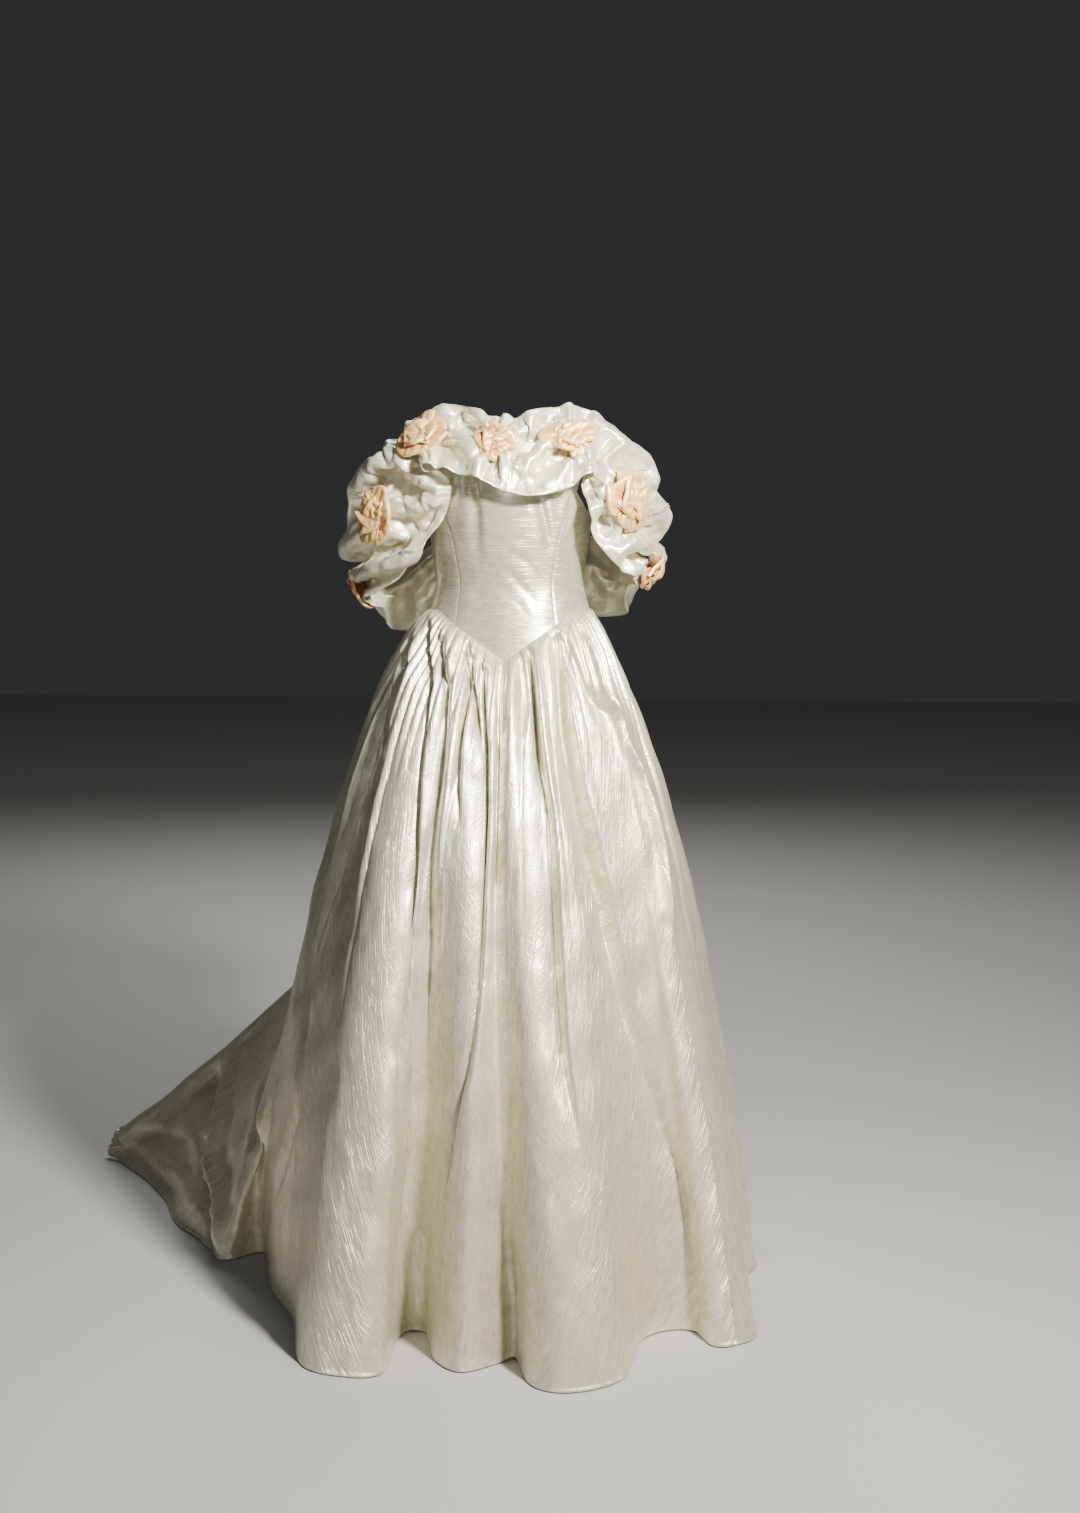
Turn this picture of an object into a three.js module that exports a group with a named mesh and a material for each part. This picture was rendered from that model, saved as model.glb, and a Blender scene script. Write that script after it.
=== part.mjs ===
// Off-the-shoulder ball gown in ivory slubbed silk, with a rose-set ruffle, a basque waist and a train.
// The gown keeps its worn, hollow form. Millimetres, +Z up. The origin is on the body's axis, level with
// the waist seam at the sides. The front faces -Y, and the wearer's left arm is towards +X.

import * as THREE from 'three';

// Driving dimensions
const WAIST_HEIGHT = 1100; // waist seam at the sides, above the floor
const BODICE_WALL = 2.4; // silk on its interlining
const CLOTH = 2; // skirt, ruffle and sleeve wall
const SEAM_GAP = 0.3; // neighbouring pieces are this far apart
const WAIST_GAP = 0.7; // the skirt hangs this far below the bodice
const BODICE_ROWS = 6;

const BASQUE_POINT = -71; // front point of the waist seam
const BASQUE_SIDE = 4; // waist seam at the sides
const BASQUE_SPREAD = 62; // degrees from the front over which the point rises to the side
const BASQUE_CURVE = 1.35;
const BACK_DIP = 18; // how far the waist seam drops towards the centre back

const GATHERS = 56; // gathers round the waist seam
const GATHER_HEIGHT = 3.6; // half the depth of a full gather
const COLUMNS_PER_GATHER = 4;

const RUFFLE_WAVES = 17; // waves along the whole ruffle
const RUFFLE_OFFSET = 1.2; // the lower edge's waves are this far round from the upper edge's, in radians
const RUFFLE_BILLOW = 9; // how far each half of the ruffle swells between its gather and its edge
const COLUMNS_PER_STATION = 5;

const ROSE_RADIUS = 37;
const ROSE_PETALS = 5;
const ROSE_SIDES = 15;

const IVORY = 0xe8e4d2;
const PEACH = 0xf2cfa6;

// Body form that the bodice is cut to: height, half width, and depth to the front and to the back
const FORM = [
  { z: -130, side: 158, front: 124, back: 122 },
  { z: -80, side: 143, front: 109, back: 107 },
  { z: 0, side: 124, front: 94, back: 92 },
  { z: 45, side: 115, front: 89, back: 84 },
  { z: 100, side: 122, front: 102, back: 88 },
  { z: 160, side: 129, front: 116, back: 92 },
  { z: 215, side: 133, front: 115, back: 94 },
  { z: 270, side: 136, front: 108, back: 94 },
];

// Princess seam: degrees from the front at each height
const PRINCESS_SEAM = [
  { z: -30, deg: 36.5 },
  { z: 75, deg: 39 },
  { z: 125, deg: 42 },
  { z: 172, deg: 53 },
  { z: 225, deg: 62 },
  { z: 262, deg: 65 },
];

// Top edges: share of the way across each panel, and height
const FRONT_TOP = [
  { across: 0, z: 260 },
  { across: 0.6, z: 260 },
  { across: 1, z: 240 },
];
const SIDE_TOP = [
  { across: 0, z: 186 },
  { across: 0.5, z: 160 },
  { across: 1, z: 150 },
];
const BACK_TOP = [
  { across: 0, z: 150 },
  { across: 0.22, z: 118 },
  { across: 0.4, z: 84 },
  { across: 0.56, z: 63 },
  { across: 0.78, z: 67 },
  { across: 1, z: 71 },
];

// Plain bell of the skirt: its reach at the floor in each direction, before the folds and the train
const SKIRT_BELL = [
  { deg: -180, reach: 440 },
  { deg: -135, reach: 448 },
  { deg: -95, reach: 452 },
  { deg: -50, reach: 400 },
  { deg: 0, reach: 395 },
  { deg: 45, reach: 372 },
  { deg: 90, reach: 398 },
  { deg: 135, reach: 425 },
];
const BELL_FLARE = 0.6; // the bell leaves the waist fast
const BELL_ROUND = 0.3; // share of a rounder outline that steepens it towards the floor

// Skirt folds: where each ridge or hollow leaves the waist, where its hem meets the floor, and how late it
// grows out of the bell. The train is the folds from 147 degrees round by the back to -100 degrees.
const SKIRT_FOLDS = [
  { waistDeg: -180, hemX: -850, hemY: 660, growth: 1.65 },
  { waistDeg: -163, hemX: -795, hemY: 545, growth: 1.8 },
  { waistDeg: -150, hemX: -722, hemY: 440, growth: 2 },
  { waistDeg: -139, hemX: -661, hemY: 331, growth: 2.3 },
  { waistDeg: -129, hemX: -615, hemY: 215, growth: 2.5 },
  { waistDeg: -120, hemX: -552, hemY: 130, growth: 2.6 },
  { waistDeg: -114, hemX: -527, hemY: 84, growth: 2.6 },
  { waistDeg: -109, hemX: -504, hemY: 46, growth: 2.6 },
  { waistDeg: -104.5, hemX: -480, hemY: 32, growth: 2.6 },
  { waistDeg: -100, hemX: -457, hemY: 54, growth: 2.6 },
  { waistDeg: -95, hemX: -433, hemY: 70, growth: 2.6 },
  { waistDeg: -89, hemX: -415, hemY: 40, growth: 2.5 },
  { waistDeg: -82, hemX: -400, hemY: -28, growth: 2.2 },
  { waistDeg: -73, hemX: -381, hemY: -99, growth: 2 },
  { waistDeg: -58, hemX: -322, hemY: -230, growth: 2 },
  { waistDeg: -45, hemX: -280, hemY: -395, growth: 1.8 },
  { waistDeg: -34, hemX: -207, hemY: -437, growth: 1.8 },
  { waistDeg: -27, hemX: -154, hemY: -420, growth: 2 },
  { waistDeg: -23, hemX: -152, hemY: -325, growth: 2 },
  { waistDeg: -19.5, hemX: -143, hemY: -262, growth: 2 },
  { waistDeg: -15.5, hemX: -112, hemY: -258, growth: 2 },
  { waistDeg: -12, hemX: -96, hemY: -312, growth: 2 },
  { waistDeg: -8.5, hemX: -80, hemY: -370, growth: 2 },
  { waistDeg: -4, hemX: -38, hemY: -408, growth: 1.8 },
  { waistDeg: 0, hemX: 12, hemY: -372, growth: 1.8 },
  { waistDeg: 4, hemX: 38, hemY: -352, growth: 2 },
  { waistDeg: 8, hemX: 67, hemY: -446, growth: 2 },
  { waistDeg: 15, hemX: 126, hemY: -470, growth: 1.8 },
  { waistDeg: 24, hemX: 196, hemY: -422, growth: 1.8 },
  { waistDeg: 30, hemX: 213, hemY: -345, growth: 2 },
  { waistDeg: 37, hemX: 224, hemY: -265, growth: 2 },
  { waistDeg: 45, hemX: 262, hemY: -224, growth: 2 },
  { waistDeg: 52, hemX: 305, hemY: -226, growth: 2 },
  { waistDeg: 57, hemX: 332, hemY: -280, growth: 2 },
  { waistDeg: 64, hemX: 368, hemY: -274, growth: 2 },
  { waistDeg: 73, hemX: 400, hemY: -228, growth: 2 },
  { waistDeg: 82, hemX: 378, hemY: -110, growth: 2 },
  { waistDeg: 91, hemX: 376, hemY: -10, growth: 2 },
  { waistDeg: 100, hemX: 404, hemY: 78, growth: 2 },
  { waistDeg: 109, hemX: 372, hemY: 190, growth: 2 },
  { waistDeg: 119, hemX: 392, hemY: 300, growth: 2 },
  { waistDeg: 129, hemX: 300, hemY: 375, growth: 2 },
  { waistDeg: 138, hemX: 262, hemY: 515, growth: 2 },
  { waistDeg: 147, hemX: 110, hemY: 560, growth: 2 },
  { waistDeg: 155, hemX: 0, hemY: 690, growth: 1.9 },
  { waistDeg: 163, hemX: -220, hemY: 715, growth: 1.8 },
  { waistDeg: 171, hemX: -470, hemY: 800, growth: 1.7 },
];

// Depth of the gathers at each share of the way down the skirt
const GATHER_FADE = [
  { down: 0, depth: 0.35 },
  { down: 0.02, depth: 1 },
  { down: 0.06, depth: 0.9 },
  { down: 0.18, depth: 0.25 },
  { down: 0.32, depth: 0 },
  { down: 1, depth: 0 },
];
const GATHERED_ROWS = [0, 0.015, 0.045, 0.1];
const HANGING_ROWS = [0.18, 0.3, 0.45, 0.6, 0.75, 0.88, 1];

// Skirt panels between seams, as counts of coarse columns from the centre back round by the right side
const SKIRT_PANELS = [
  { name: 'skirt_back_right', columns: 18 },
  { name: 'skirt_side_right', columns: 18 },
  { name: 'skirt_front', columns: 40 },
  { name: 'skirt_side_left', columns: 18 },
  { name: 'skirt_back_left', columns: 18 },
];

// Ruffle stations from the centre back round the right arm, the centre front and the left arm to the back:
// the gathered line, the free edge above it and the free edge below it, and half the depth of the edge's waves
const RUFFLE_STATIONS = [
  { station: -15, mid: [0, 90.4, 73], up: [0, 112, 136], low: [0, 122, 2], wave: 9 },
  { station: -14, mid: [-42.6, 84.9, 69], up: [-36, 114, 133], low: [-40, 118, -4], wave: 9 },
  { station: -13, mid: [-79.2, 71.2, 65], up: [-70, 116, 126], low: [-80, 114, -12], wave: 9 },
  { station: -12, mid: [-134, 100, 42], up: [-122, 148, 104], low: [-120, 130, -30], wave: 9 },
  { station: -11, mid: [-187, 94, 23], up: [-182, 150, 79], low: [-176, 108, -45], wave: 9 },
  { station: -10, mid: [-223, 66, 27], up: [-218, 134, 63], low: [-212, 62, -17], wave: 9 },
  { station: -9, mid: [-238, 24, 44], up: [-245, 100, 59], low: [-216, 4, 23], wave: 6 },
  { station: -8, mid: [-235, -10, 65], up: [-254, 58, 72], low: [-173, -46, 55], wave: 3 },
  { station: -7, mid: [-220, -42, 100], up: [-275, 30, 111], low: [-132, -76, 88], wave: 2 },
  { station: -6, mid: [-197, -66, 156], up: [-250, 2, 162], low: [-115, -90, 135], wave: 2 },
  { station: -5, mid: [-175, -76, 202], up: [-238, -16, 214], low: [-82, -98, 182], wave: 2 },
  { station: -4, mid: [-150, -80, 240], up: [-196, -34, 251], low: [-98, -104, 205], wave: 2 },
  { station: -3, mid: [-122, -80, 266], up: [-132, -52, 297], low: [-114, -118, 230], wave: 2 },
  { station: -2, mid: [-90, -91, 265], up: [-88, -66, 320], low: [-86, -132, 221], wave: 2 },
  { station: -1, mid: [-48, -107, 262], up: [-49, -86, 310], low: [-41, -148, 215], wave: 2 },
  { station: 0, mid: [0, -114, 262], up: [1, -97, 300], low: [2, -152, 189], wave: 2 },
  { station: 1, mid: [48, -107, 262], up: [50, -86, 310], low: [51, -150, 176], wave: 2 },
  { station: 2, mid: [90, -91, 265], up: [88, -64, 318], low: [90, -130, 191], wave: 2 },
  { station: 3, mid: [122, -80, 266], up: [140, -44, 302], low: [123, -119, 220], wave: 2 },
  { station: 4, mid: [150, -80, 240], up: [183, -26, 270], low: [124, -98, 199], wave: 2 },
  { station: 5, mid: [173, -76, 204], up: [220, -10, 223], low: [127, -95, 163], wave: 2 },
  { station: 6, mid: [185, -66, 170], up: [237, 8, 173], low: [136, -88, 117], wave: 2 },
  { station: 7, mid: [196, -42, 124], up: [238, 30, 122], low: [167, -74, 85], wave: 3 },
  { station: 8, mid: [209, -10, 91], up: [236, 61, 86], low: [195, -40, 62], wave: 4 },
  { station: 9, mid: [212, 24, 70], up: [217, 100, 85], low: [192, 4, 49], wave: 6 },
  { station: 10, mid: [197, 66, 53], up: [194, 134, 89], low: [188, 62, 9], wave: 9 },
  { station: 11, mid: [165, 94, 49], up: [162, 150, 105], low: [156, 108, -19], wave: 9 },
  { station: 12, mid: [126, 100, 54], up: [114, 148, 116], low: [112, 130, -18], wave: 9 },
  { station: 13, mid: [79.2, 71.2, 65], up: [70, 116, 126], low: [80, 114, -12], wave: 9 },
  { station: 14, mid: [42.6, 84.9, 69], up: [36, 114, 133], low: [40, 118, -4], wave: 9 },
  { station: 15, mid: [0, 90.4, 73], up: [0, 112, 136], low: [0, 122, 2], wave: 9 },
];
const RUFFLE_ROWS = [-1, -0.7, -0.35, 0, 0.35, 0.7, 1];
const SHOULDER = 3; // station where the front ruffle meets a sleeve, counted from the centre front
const OUTER_ARM = 8; // station where a sleeve's front half meets its back half
const CENTRE_BACK = 15;

// Ruffle pieces, by the stations they run between; stations on the right arm are negative
const RUFFLE_PIECES = [
  { name: 'sleeve_back_right', from: -CENTRE_BACK, to: -OUTER_ARM },
  { name: 'sleeve_front_right', from: -OUTER_ARM, to: -SHOULDER },
  { name: 'ruffle_front', from: -SHOULDER, to: SHOULDER },
  { name: 'sleeve_front_left', from: SHOULDER, to: OUTER_ARM },
  { name: 'sleeve_back_left', from: OUTER_ARM, to: CENTRE_BACK },
];

// Roses: station on the ruffle, size, turn, and how far the base stands off the gathered line
const ROSES = [
  { name: 'rose_elbow_right', station: -9.5, size: 0.95, turnDeg: 40, standOff: 1.7 },
  { name: 'rose_sleeve_right', station: -6.1, size: 1.05, turnDeg: 15, standOff: 0.3 },
  { name: 'rose_shoulder_right', station: -3.05, size: 1.02, turnDeg: 65, standOff: 2.1 },
  { name: 'rose_chest_centre', station: -0.22, size: 0.85, turnDeg: 10, standOff: 1.6 },
  { name: 'rose_chest_left', station: 2.3, size: 0.95, turnDeg: 50, standOff: 1.3 },
  { name: 'rose_sleeve_left', station: 5.9, size: 1.1, turnDeg: 25, standOff: 0.3 },
  { name: 'rose_elbow_left', station: 9, size: 1, turnDeg: 5, standOff: 5.6 },
];

// Rose outline from the sewn base, up over three tiers of petals, to the bud: shares of the rose's radius
const ROSE_PROFILE = [
  { out: 0.3, up: 0.03, petal: 0, turn: 0 },
  { out: 0.98, up: 0.24, petal: 0.1, turn: 0 },
  { out: 0.94, up: 0.31, petal: 0.1, turn: 0 },
  { out: 0.62, up: 0.22, petal: 0.04, turn: 0.5 },
  { out: 0.72, up: 0.5, petal: 0.12, turn: 0.5 },
  { out: 0.4, up: 0.36, petal: 0.05, turn: 1 },
  { out: 0.42, up: 0.66, petal: 0.14, turn: 1 },
  { out: 0.16, up: 0.5, petal: 0.05, turn: 1.5 },
];
const ROSE_BUD_HEIGHT = 0.6;

const radians = THREE.MathUtils.degToRad;
const mix = THREE.MathUtils.lerp;

/** Value of a column at key value x, on a smooth curve through the rows. Ends are held. */
function smooth(rows, key, column, x) {
  const last = rows.length - 1;
  const at = THREE.MathUtils.clamp(x, rows[0][key], rows[last][key]);
  let i = 0;
  while (i < last - 1 && rows[i + 1][key] < at) i += 1;
  const before = rows[Math.max(i - 1, 0)];
  const after = rows[Math.min(i + 2, last)];
  const slopeIn = (rows[i + 1][column] - before[column]) / (rows[i + 1][key] - before[key]);
  const slopeOut = (after[column] - rows[i][column]) / (after[key] - rows[i][key]);
  const span = rows[i + 1][key] - rows[i][key];
  const t = (at - rows[i][key]) / span;
  const t2 = t * t;
  const t3 = t2 * t;
  return (2 * t3 - 3 * t2 + 1) * rows[i][column] + (t3 - 2 * t2 + t) * span * slopeIn
    + (3 * t2 - 2 * t3) * rows[i + 1][column] + (t3 - t2) * span * slopeOut;
}

/** Point on the body form at an angle from the front and a height, moved out from the form. */
function formPoint(deg, z, out) {
  const side = smooth(FORM, 'z', 'side', z);
  const depth = smooth(FORM, 'z', Math.abs(deg) < 90 ? 'front' : 'back', z);
  const sin = Math.sin(radians(deg));
  const cos = Math.cos(radians(deg));
  const outward = new THREE.Vector3(sin / side, -cos / depth, 0).normalize();
  return new THREE.Vector3(side * sin, -depth * cos, z).addScaledVector(outward, out);
}

/** Height of the waist seam at an angle from the front: a basque point, level sides and a low back. */
function waistSeam(deg) {
  const fromFront = Math.abs(deg);
  const point = Math.max(0, 1 - fromFront / BASQUE_SPREAD) ** BASQUE_CURVE;
  const back = THREE.MathUtils.smoothstep(fromFront, 100, 180);
  return BASQUE_SIDE - (BASQUE_SIDE - BASQUE_POINT) * point - BACK_DIP * back;
}

/**
 * Closed cloth wall over surface(u, v), which gives outer points. Each row has its v and its list of u.
 * Neighbouring rows have the same columns, or the lower one every second column of the upper one.
 * Columns at both ends stop half a seam gap short. A level wall is thickened sideways only.
 */
function clothWall(surface, rows, thickness, level = false) {
  const outer = [];
  const inner = [];
  const starts = [];
  const lastV = rows[rows.length - 1].v;
  for (const [r, { v, us }] of rows.entries()) {
    starts.push(outer.length);
    const vStep = 0.3 * Math.abs((rows[r + 1] ?? rows[r]).v - (rows[r - 1] ?? rows[r]).v) / 2;
    const low = Math.min(rows[0].v, lastV);
    const high = Math.max(rows[0].v, lastV);
    for (const [c, u] of us.entries()) {
      const uStep = 0.5 * Math.abs((us[c + 1] ?? us[c]) - (us[c - 1] ?? us[c - 2] ?? us[c])) / 2;
      const along = surface(u + uStep, v).sub(surface(u - uStep, v));
      const vAhead = THREE.MathUtils.clamp(v + vStep, low, high);
      const vBehind = THREE.MathUtils.clamp(v - vStep, low, high);
      const down = surface(u, vAhead).sub(surface(u, vBehind));
      const normal = along.cross(down);
      if (level) normal.setZ(0);
      normal.normalize();
      if (lastV < rows[0].v) normal.negate();
      const point = surface(u, v);
      const next = c === 0 ? us[1] : us[us.length - 2];
      if (c === 0 || c === us.length - 1) {
        const inwards = surface(next, v).sub(point).normalize();
        point.addScaledVector(inwards, SEAM_GAP / 2);
      }
      outer.push(point);
      inner.push(point.clone().addScaledVector(normal, thickness));
    }
  }
  const count = outer.length;
  const triangles = [];
  const addBoth = (a, b, c) => {
    triangles.push([a, b, c], [a + count, c + count, b + count]);
  };
  for (let r = 0; r + 1 < rows.length; r += 1) {
    const upper = starts[r];
    const lower = starts[r + 1];
    const halved = rows[r].us.length > rows[r + 1].us.length;
    for (let c = 0; c + 1 < rows[r + 1].us.length; c += 1) {
      const left = lower + c;
      const upperLeft = upper + (halved ? 2 * c : c);
      if (halved) {
        addBoth(upperLeft, left, upperLeft + 1);
        addBoth(upperLeft + 1, left, left + 1);
        addBoth(upperLeft + 1, left + 1, upperLeft + 2);
      } else {
        addBoth(upperLeft, left, left + 1);
        addBoth(upperLeft, left + 1, upperLeft + 1);
      }
    }
  }
  triangles.push(...rimTriangles(triangles, count));
  return closedGeometry([...outer, ...inner], triangles);
}

/** Triangles that close a wall between the free edges of its outer face and those of its inner face. */
function rimTriangles(triangles, count) {
  const edges = new Map();
  for (const [a, b, c] of triangles) {
    if (a >= count) continue;
    for (const [from, to] of [[a, b], [b, c], [c, a]]) {
      if (!edges.delete(`${to},${from}`)) edges.set(`${from},${to}`, [from, to]);
    }
  }
  const rim = [];
  for (const [from, to] of edges.values()) {
    rim.push([to, from, from + count], [to, from + count, to + count]);
  }
  return rim;
}

/** Geometry of a closed body, with its faces turned outwards. */
function closedGeometry(points, triangles) {
  const volume = triangles.reduce(
    (sum, [a, b, c]) => sum + points[a].dot(points[b].clone().cross(points[c])), 0);
  const faces = volume > 0 ? triangles : triangles.map(([a, b, c]) => [a, c, b]);
  const geometry = new THREE.BufferGeometry();
  geometry.setAttribute('position', new THREE.Float32BufferAttribute(points.flatMap((p) => p.toArray()), 3));
  geometry.setIndex(faces.flat());
  geometry.computeVertexNormals();
  return geometry;
}

/** Evenly spaced values from one end to the other. */
function steps(from, to, count) {
  return Array.from({ length: count + 1 }, (_, i) => mix(from, to, i / count));
}

const silk = new THREE.MeshStandardMaterial({ color: IVORY, roughness: 0.45, metalness: 0, name: 'ivory_silk' });
const roseSilk = new THREE.MeshStandardMaterial({ color: PEACH, roughness: 0.4, metalness: 0, name: 'peach_satin' });

function namedMesh(name, geometry, material) {
  const mesh = new THREE.Mesh(geometry, material);
  mesh.name = name;
  return mesh;
}

// Bodice: a pointed centre front, two side fronts from princess seam to side seam, and two backs

/**
 * Bodice panel between two edges given as degrees at a height. Its rows rise evenly from the waist seam to
 * the chest line, and then on to the neckline where the panel has one.
 */
function bodicePanel(name, { fromDeg, toDeg, chest, neck, levels, columns, mirror }) {
  const seamHeight = (u) => {
    let z = 0;
    for (let pass = 0; pass < 4; pass += 1) z = waistSeam(mix(fromDeg(z), toDeg(z), u));
    return z;
  };
  const surface = (u, level) => {
    const z = level <= 1 ? mix(seamHeight(u), chest(u), level) : mix(chest(u), neck(u), level - 1);
    const point = formPoint(mix(fromDeg(z), toDeg(z), u), z, BODICE_WALL);
    point.x *= mirror;
    return point;
  };
  const us = steps(0, 1, columns);
  const wall = clothWall(surface, levels.map((v) => ({ v, us })), mirror * BODICE_WALL, true);
  return namedMesh(name, wall, silk);
}

const princess = (z) => smooth(PRINCESS_SEAM, 'z', 'deg', z);
const sideSeam = () => 90;
const centreBack = () => 180;
const sideTop = (u) => smooth(SIDE_TOP, 'across', 'z', u);
const backTop = (u) => smooth(BACK_TOP, 'across', 'z', u);
const frontTop = (u) => smooth(FRONT_TOP, 'across', 'z', Math.abs(2 * u - 1));

function makeBodice() {
  const bodice = new THREE.Group();
  const levels = steps(1, 0, BODICE_ROWS);
  bodice.add(bodicePanel('bodice_front', {
    fromDeg: (z) => -princess(z), toDeg: princess, chest: () => sideTop(0), neck: frontTop,
    levels: [2, 1.5, ...levels], columns: 20, mirror: 1,
  }));
  for (const [side, mirror] of [['left', 1], ['right', -1]]) {
    bodice.add(bodicePanel(`bodice_side_front_${side}`, {
      fromDeg: princess, toDeg: sideSeam, chest: sideTop, levels, columns: 15, mirror,
    }));
    bodice.add(bodicePanel(`bodice_back_${side}`, {
      fromDeg: sideSeam, toDeg: centreBack, chest: backTop, levels, columns: 16, mirror,
    }));
  }
  return bodice;
}

// Skirt: five gathered panels that hang from the waist seam and run out into a train

/** Rows of a full turn, with three more at each end, so that a curve through them closes on itself. */
function fullTurn(rows, key) {
  const before = rows.slice(-3).map((row) => ({ ...row, [key]: row[key] - 360 }));
  const after = rows.slice(0, 3).map((row) => ({ ...row, [key]: row[key] + 360 }));
  return [...before, ...rows, ...after];
}

const folds = fullTurn(SKIRT_FOLDS, 'waistDeg');
const bell = fullTurn(SKIRT_BELL, 'deg');

/** Outer point of the skirt at an angle along the waist seam and a share of the way down. */
function skirtPoint(waistDeg, down) {
  const wrapped = waistDeg > 180 ? waistDeg - 360 : waistDeg < -180 ? waistDeg + 360 : waistDeg;
  const waist = formPoint(wrapped, waistSeam(wrapped) - WAIST_GAP, BODICE_WALL);
  const outward = new THREE.Vector3(Math.sin(radians(waistDeg)), -Math.cos(radians(waistDeg)), 0);
  const floor = outward.clone().multiplyScalar(smooth(bell, 'deg', 'reach', waistDeg)).setZ(-WAIST_HEIGHT);
  const spread = mix(down ** BELL_FLARE, 1 - (1 - down) ** 2, BELL_ROUND);
  const fold = down ** smooth(folds, 'waistDeg', 'growth', waistDeg);
  const gather = GATHER_HEIGHT * smooth(GATHER_FADE, 'down', 'depth', down)
    * Math.cos(radians(GATHERS * waistDeg));
  return new THREE.Vector3(
    mix(waist.x, floor.x, spread) + fold * (smooth(folds, 'waistDeg', 'hemX', waistDeg) - floor.x),
    mix(waist.y, floor.y, spread) + fold * (smooth(folds, 'waistDeg', 'hemY', waistDeg) - floor.y),
    mix(waist.z, floor.z, down),
  ).addScaledVector(outward, gather);
}

function makeSkirt() {
  const skirt = new THREE.Group();
  const coarseStep = 720 / (GATHERS * COLUMNS_PER_GATHER);
  let from = -180;
  for (const { name, columns } of SKIRT_PANELS) {
    const to = from + columns * coarseStep;
    const fine = steps(from, to, 2 * columns);
    const coarse = steps(from, to, columns);
    const rows = [
      ...GATHERED_ROWS.map((v) => ({ v, us: fine })),
      ...HANGING_ROWS.map((v) => ({ v, us: coarse })),
    ];
    skirt.add(namedMesh(name, clothWall(skirtPoint, rows, CLOTH), silk));
    from = to;
  }
  return skirt;
}

// Ruffle: one band, gathered along its middle, round the front neckline, both arms and the low back

/** Station of the closed loop, by a count that may run past the centre back. */
function loopStation(index) {
  const turned = Math.abs(index) > CENTRE_BACK ? index - Math.sign(index) * 2 * CENTRE_BACK : index;
  const { mid, up, low, wave } = RUFFLE_STATIONS[turned + CENTRE_BACK];
  const [x, y, z] = mid;
  const [upX, upY, upZ] = up;
  const [lowX, lowY, lowZ] = low;
  return { index, x, y, z, upX, upY, upZ, lowX, lowY, lowZ, wave };
}

const ruffleLoop = Array.from({ length: 2 * CENTRE_BACK + 5 }, (_, i) => loopStation(i - CENTRE_BACK - 2));

// Length along the gathered line at each station, from the first one of the loop
let lengthSoFar = 0;
for (const [i, row] of ruffleLoop.entries()) {
  const last = ruffleLoop[i - 1] ?? row;
  lengthSoFar += Math.hypot(row.x - last.x, row.y - last.y, row.z - last.z);
  row.length = lengthSoFar;
}
const lengthAt = (station) => smooth(ruffleLoop, 'index', 'length', station);
const ruffleLength = lengthAt(CENTRE_BACK) - lengthAt(-CENTRE_BACK);

/** Point of the unwaved ruffle at a station, from -1 at its lower edge to 1 at its upper edge. */
function ruffleBase(station, across) {
  const edge = across < 0 ? 'low' : 'up';
  const share = Math.abs(across);
  const place = (axis) => mix(
    smooth(ruffleLoop, 'index', axis.toLowerCase(), station),
    smooth(ruffleLoop, 'index', edge + axis, station),
    share,
  );
  return new THREE.Vector3(place('X'), place('Y'), place('Z'));
}

/** Outward normal of the unwaved ruffle. */
function ruffleNormal(station, across) {
  const along = ruffleBase(station + 0.1, across).sub(ruffleBase(station - 0.1, across));
  const up = ruffleBase(station, across + 0.3).sub(ruffleBase(station, across - 0.3));
  return along.cross(up).normalize();
}

/** Outer point of the waved ruffle. Its waves are lower where the free edge is bunched up short. */
function rufflePoint(station, across) {
  const share = Math.abs(across);
  const angle = 2 * Math.PI * RUFFLE_WAVES * (lengthAt(station) - lengthAt(0)) / ruffleLength;
  const wave = smooth(ruffleLoop, 'index', 'wave', station) * share ** 2
    * (across < 0 ? Math.cos(angle + RUFFLE_OFFSET) : -Math.cos(angle));
  const edge = Math.sign(across);
  const edgeLength = ruffleBase(station + 0.5, edge).distanceTo(ruffleBase(station - 0.5, edge));
  const fullness = Math.min(1, edgeLength / (lengthAt(station + 0.5) - lengthAt(station - 0.5))) ** 2;
  const billow = RUFFLE_BILLOW * Math.sin(Math.PI * share) * share;
  return ruffleBase(station, across).addScaledVector(ruffleNormal(station, across), wave * fullness + billow);
}

function makeRuffle() {
  const ruffle = new THREE.Group();
  for (const { name, from, to } of RUFFLE_PIECES) {
    const us = steps(from, to, (to - from) * COLUMNS_PER_STATION);
    const rows = RUFFLE_ROWS.map((v) => ({ v, us }));
    ruffle.add(namedMesh(name, clothWall(rufflePoint, rows, -CLOTH), silk));
  }
  return ruffle;
}

// Roses: coiled and folded satin, sewn down on the ruffle's gathered line

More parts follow.
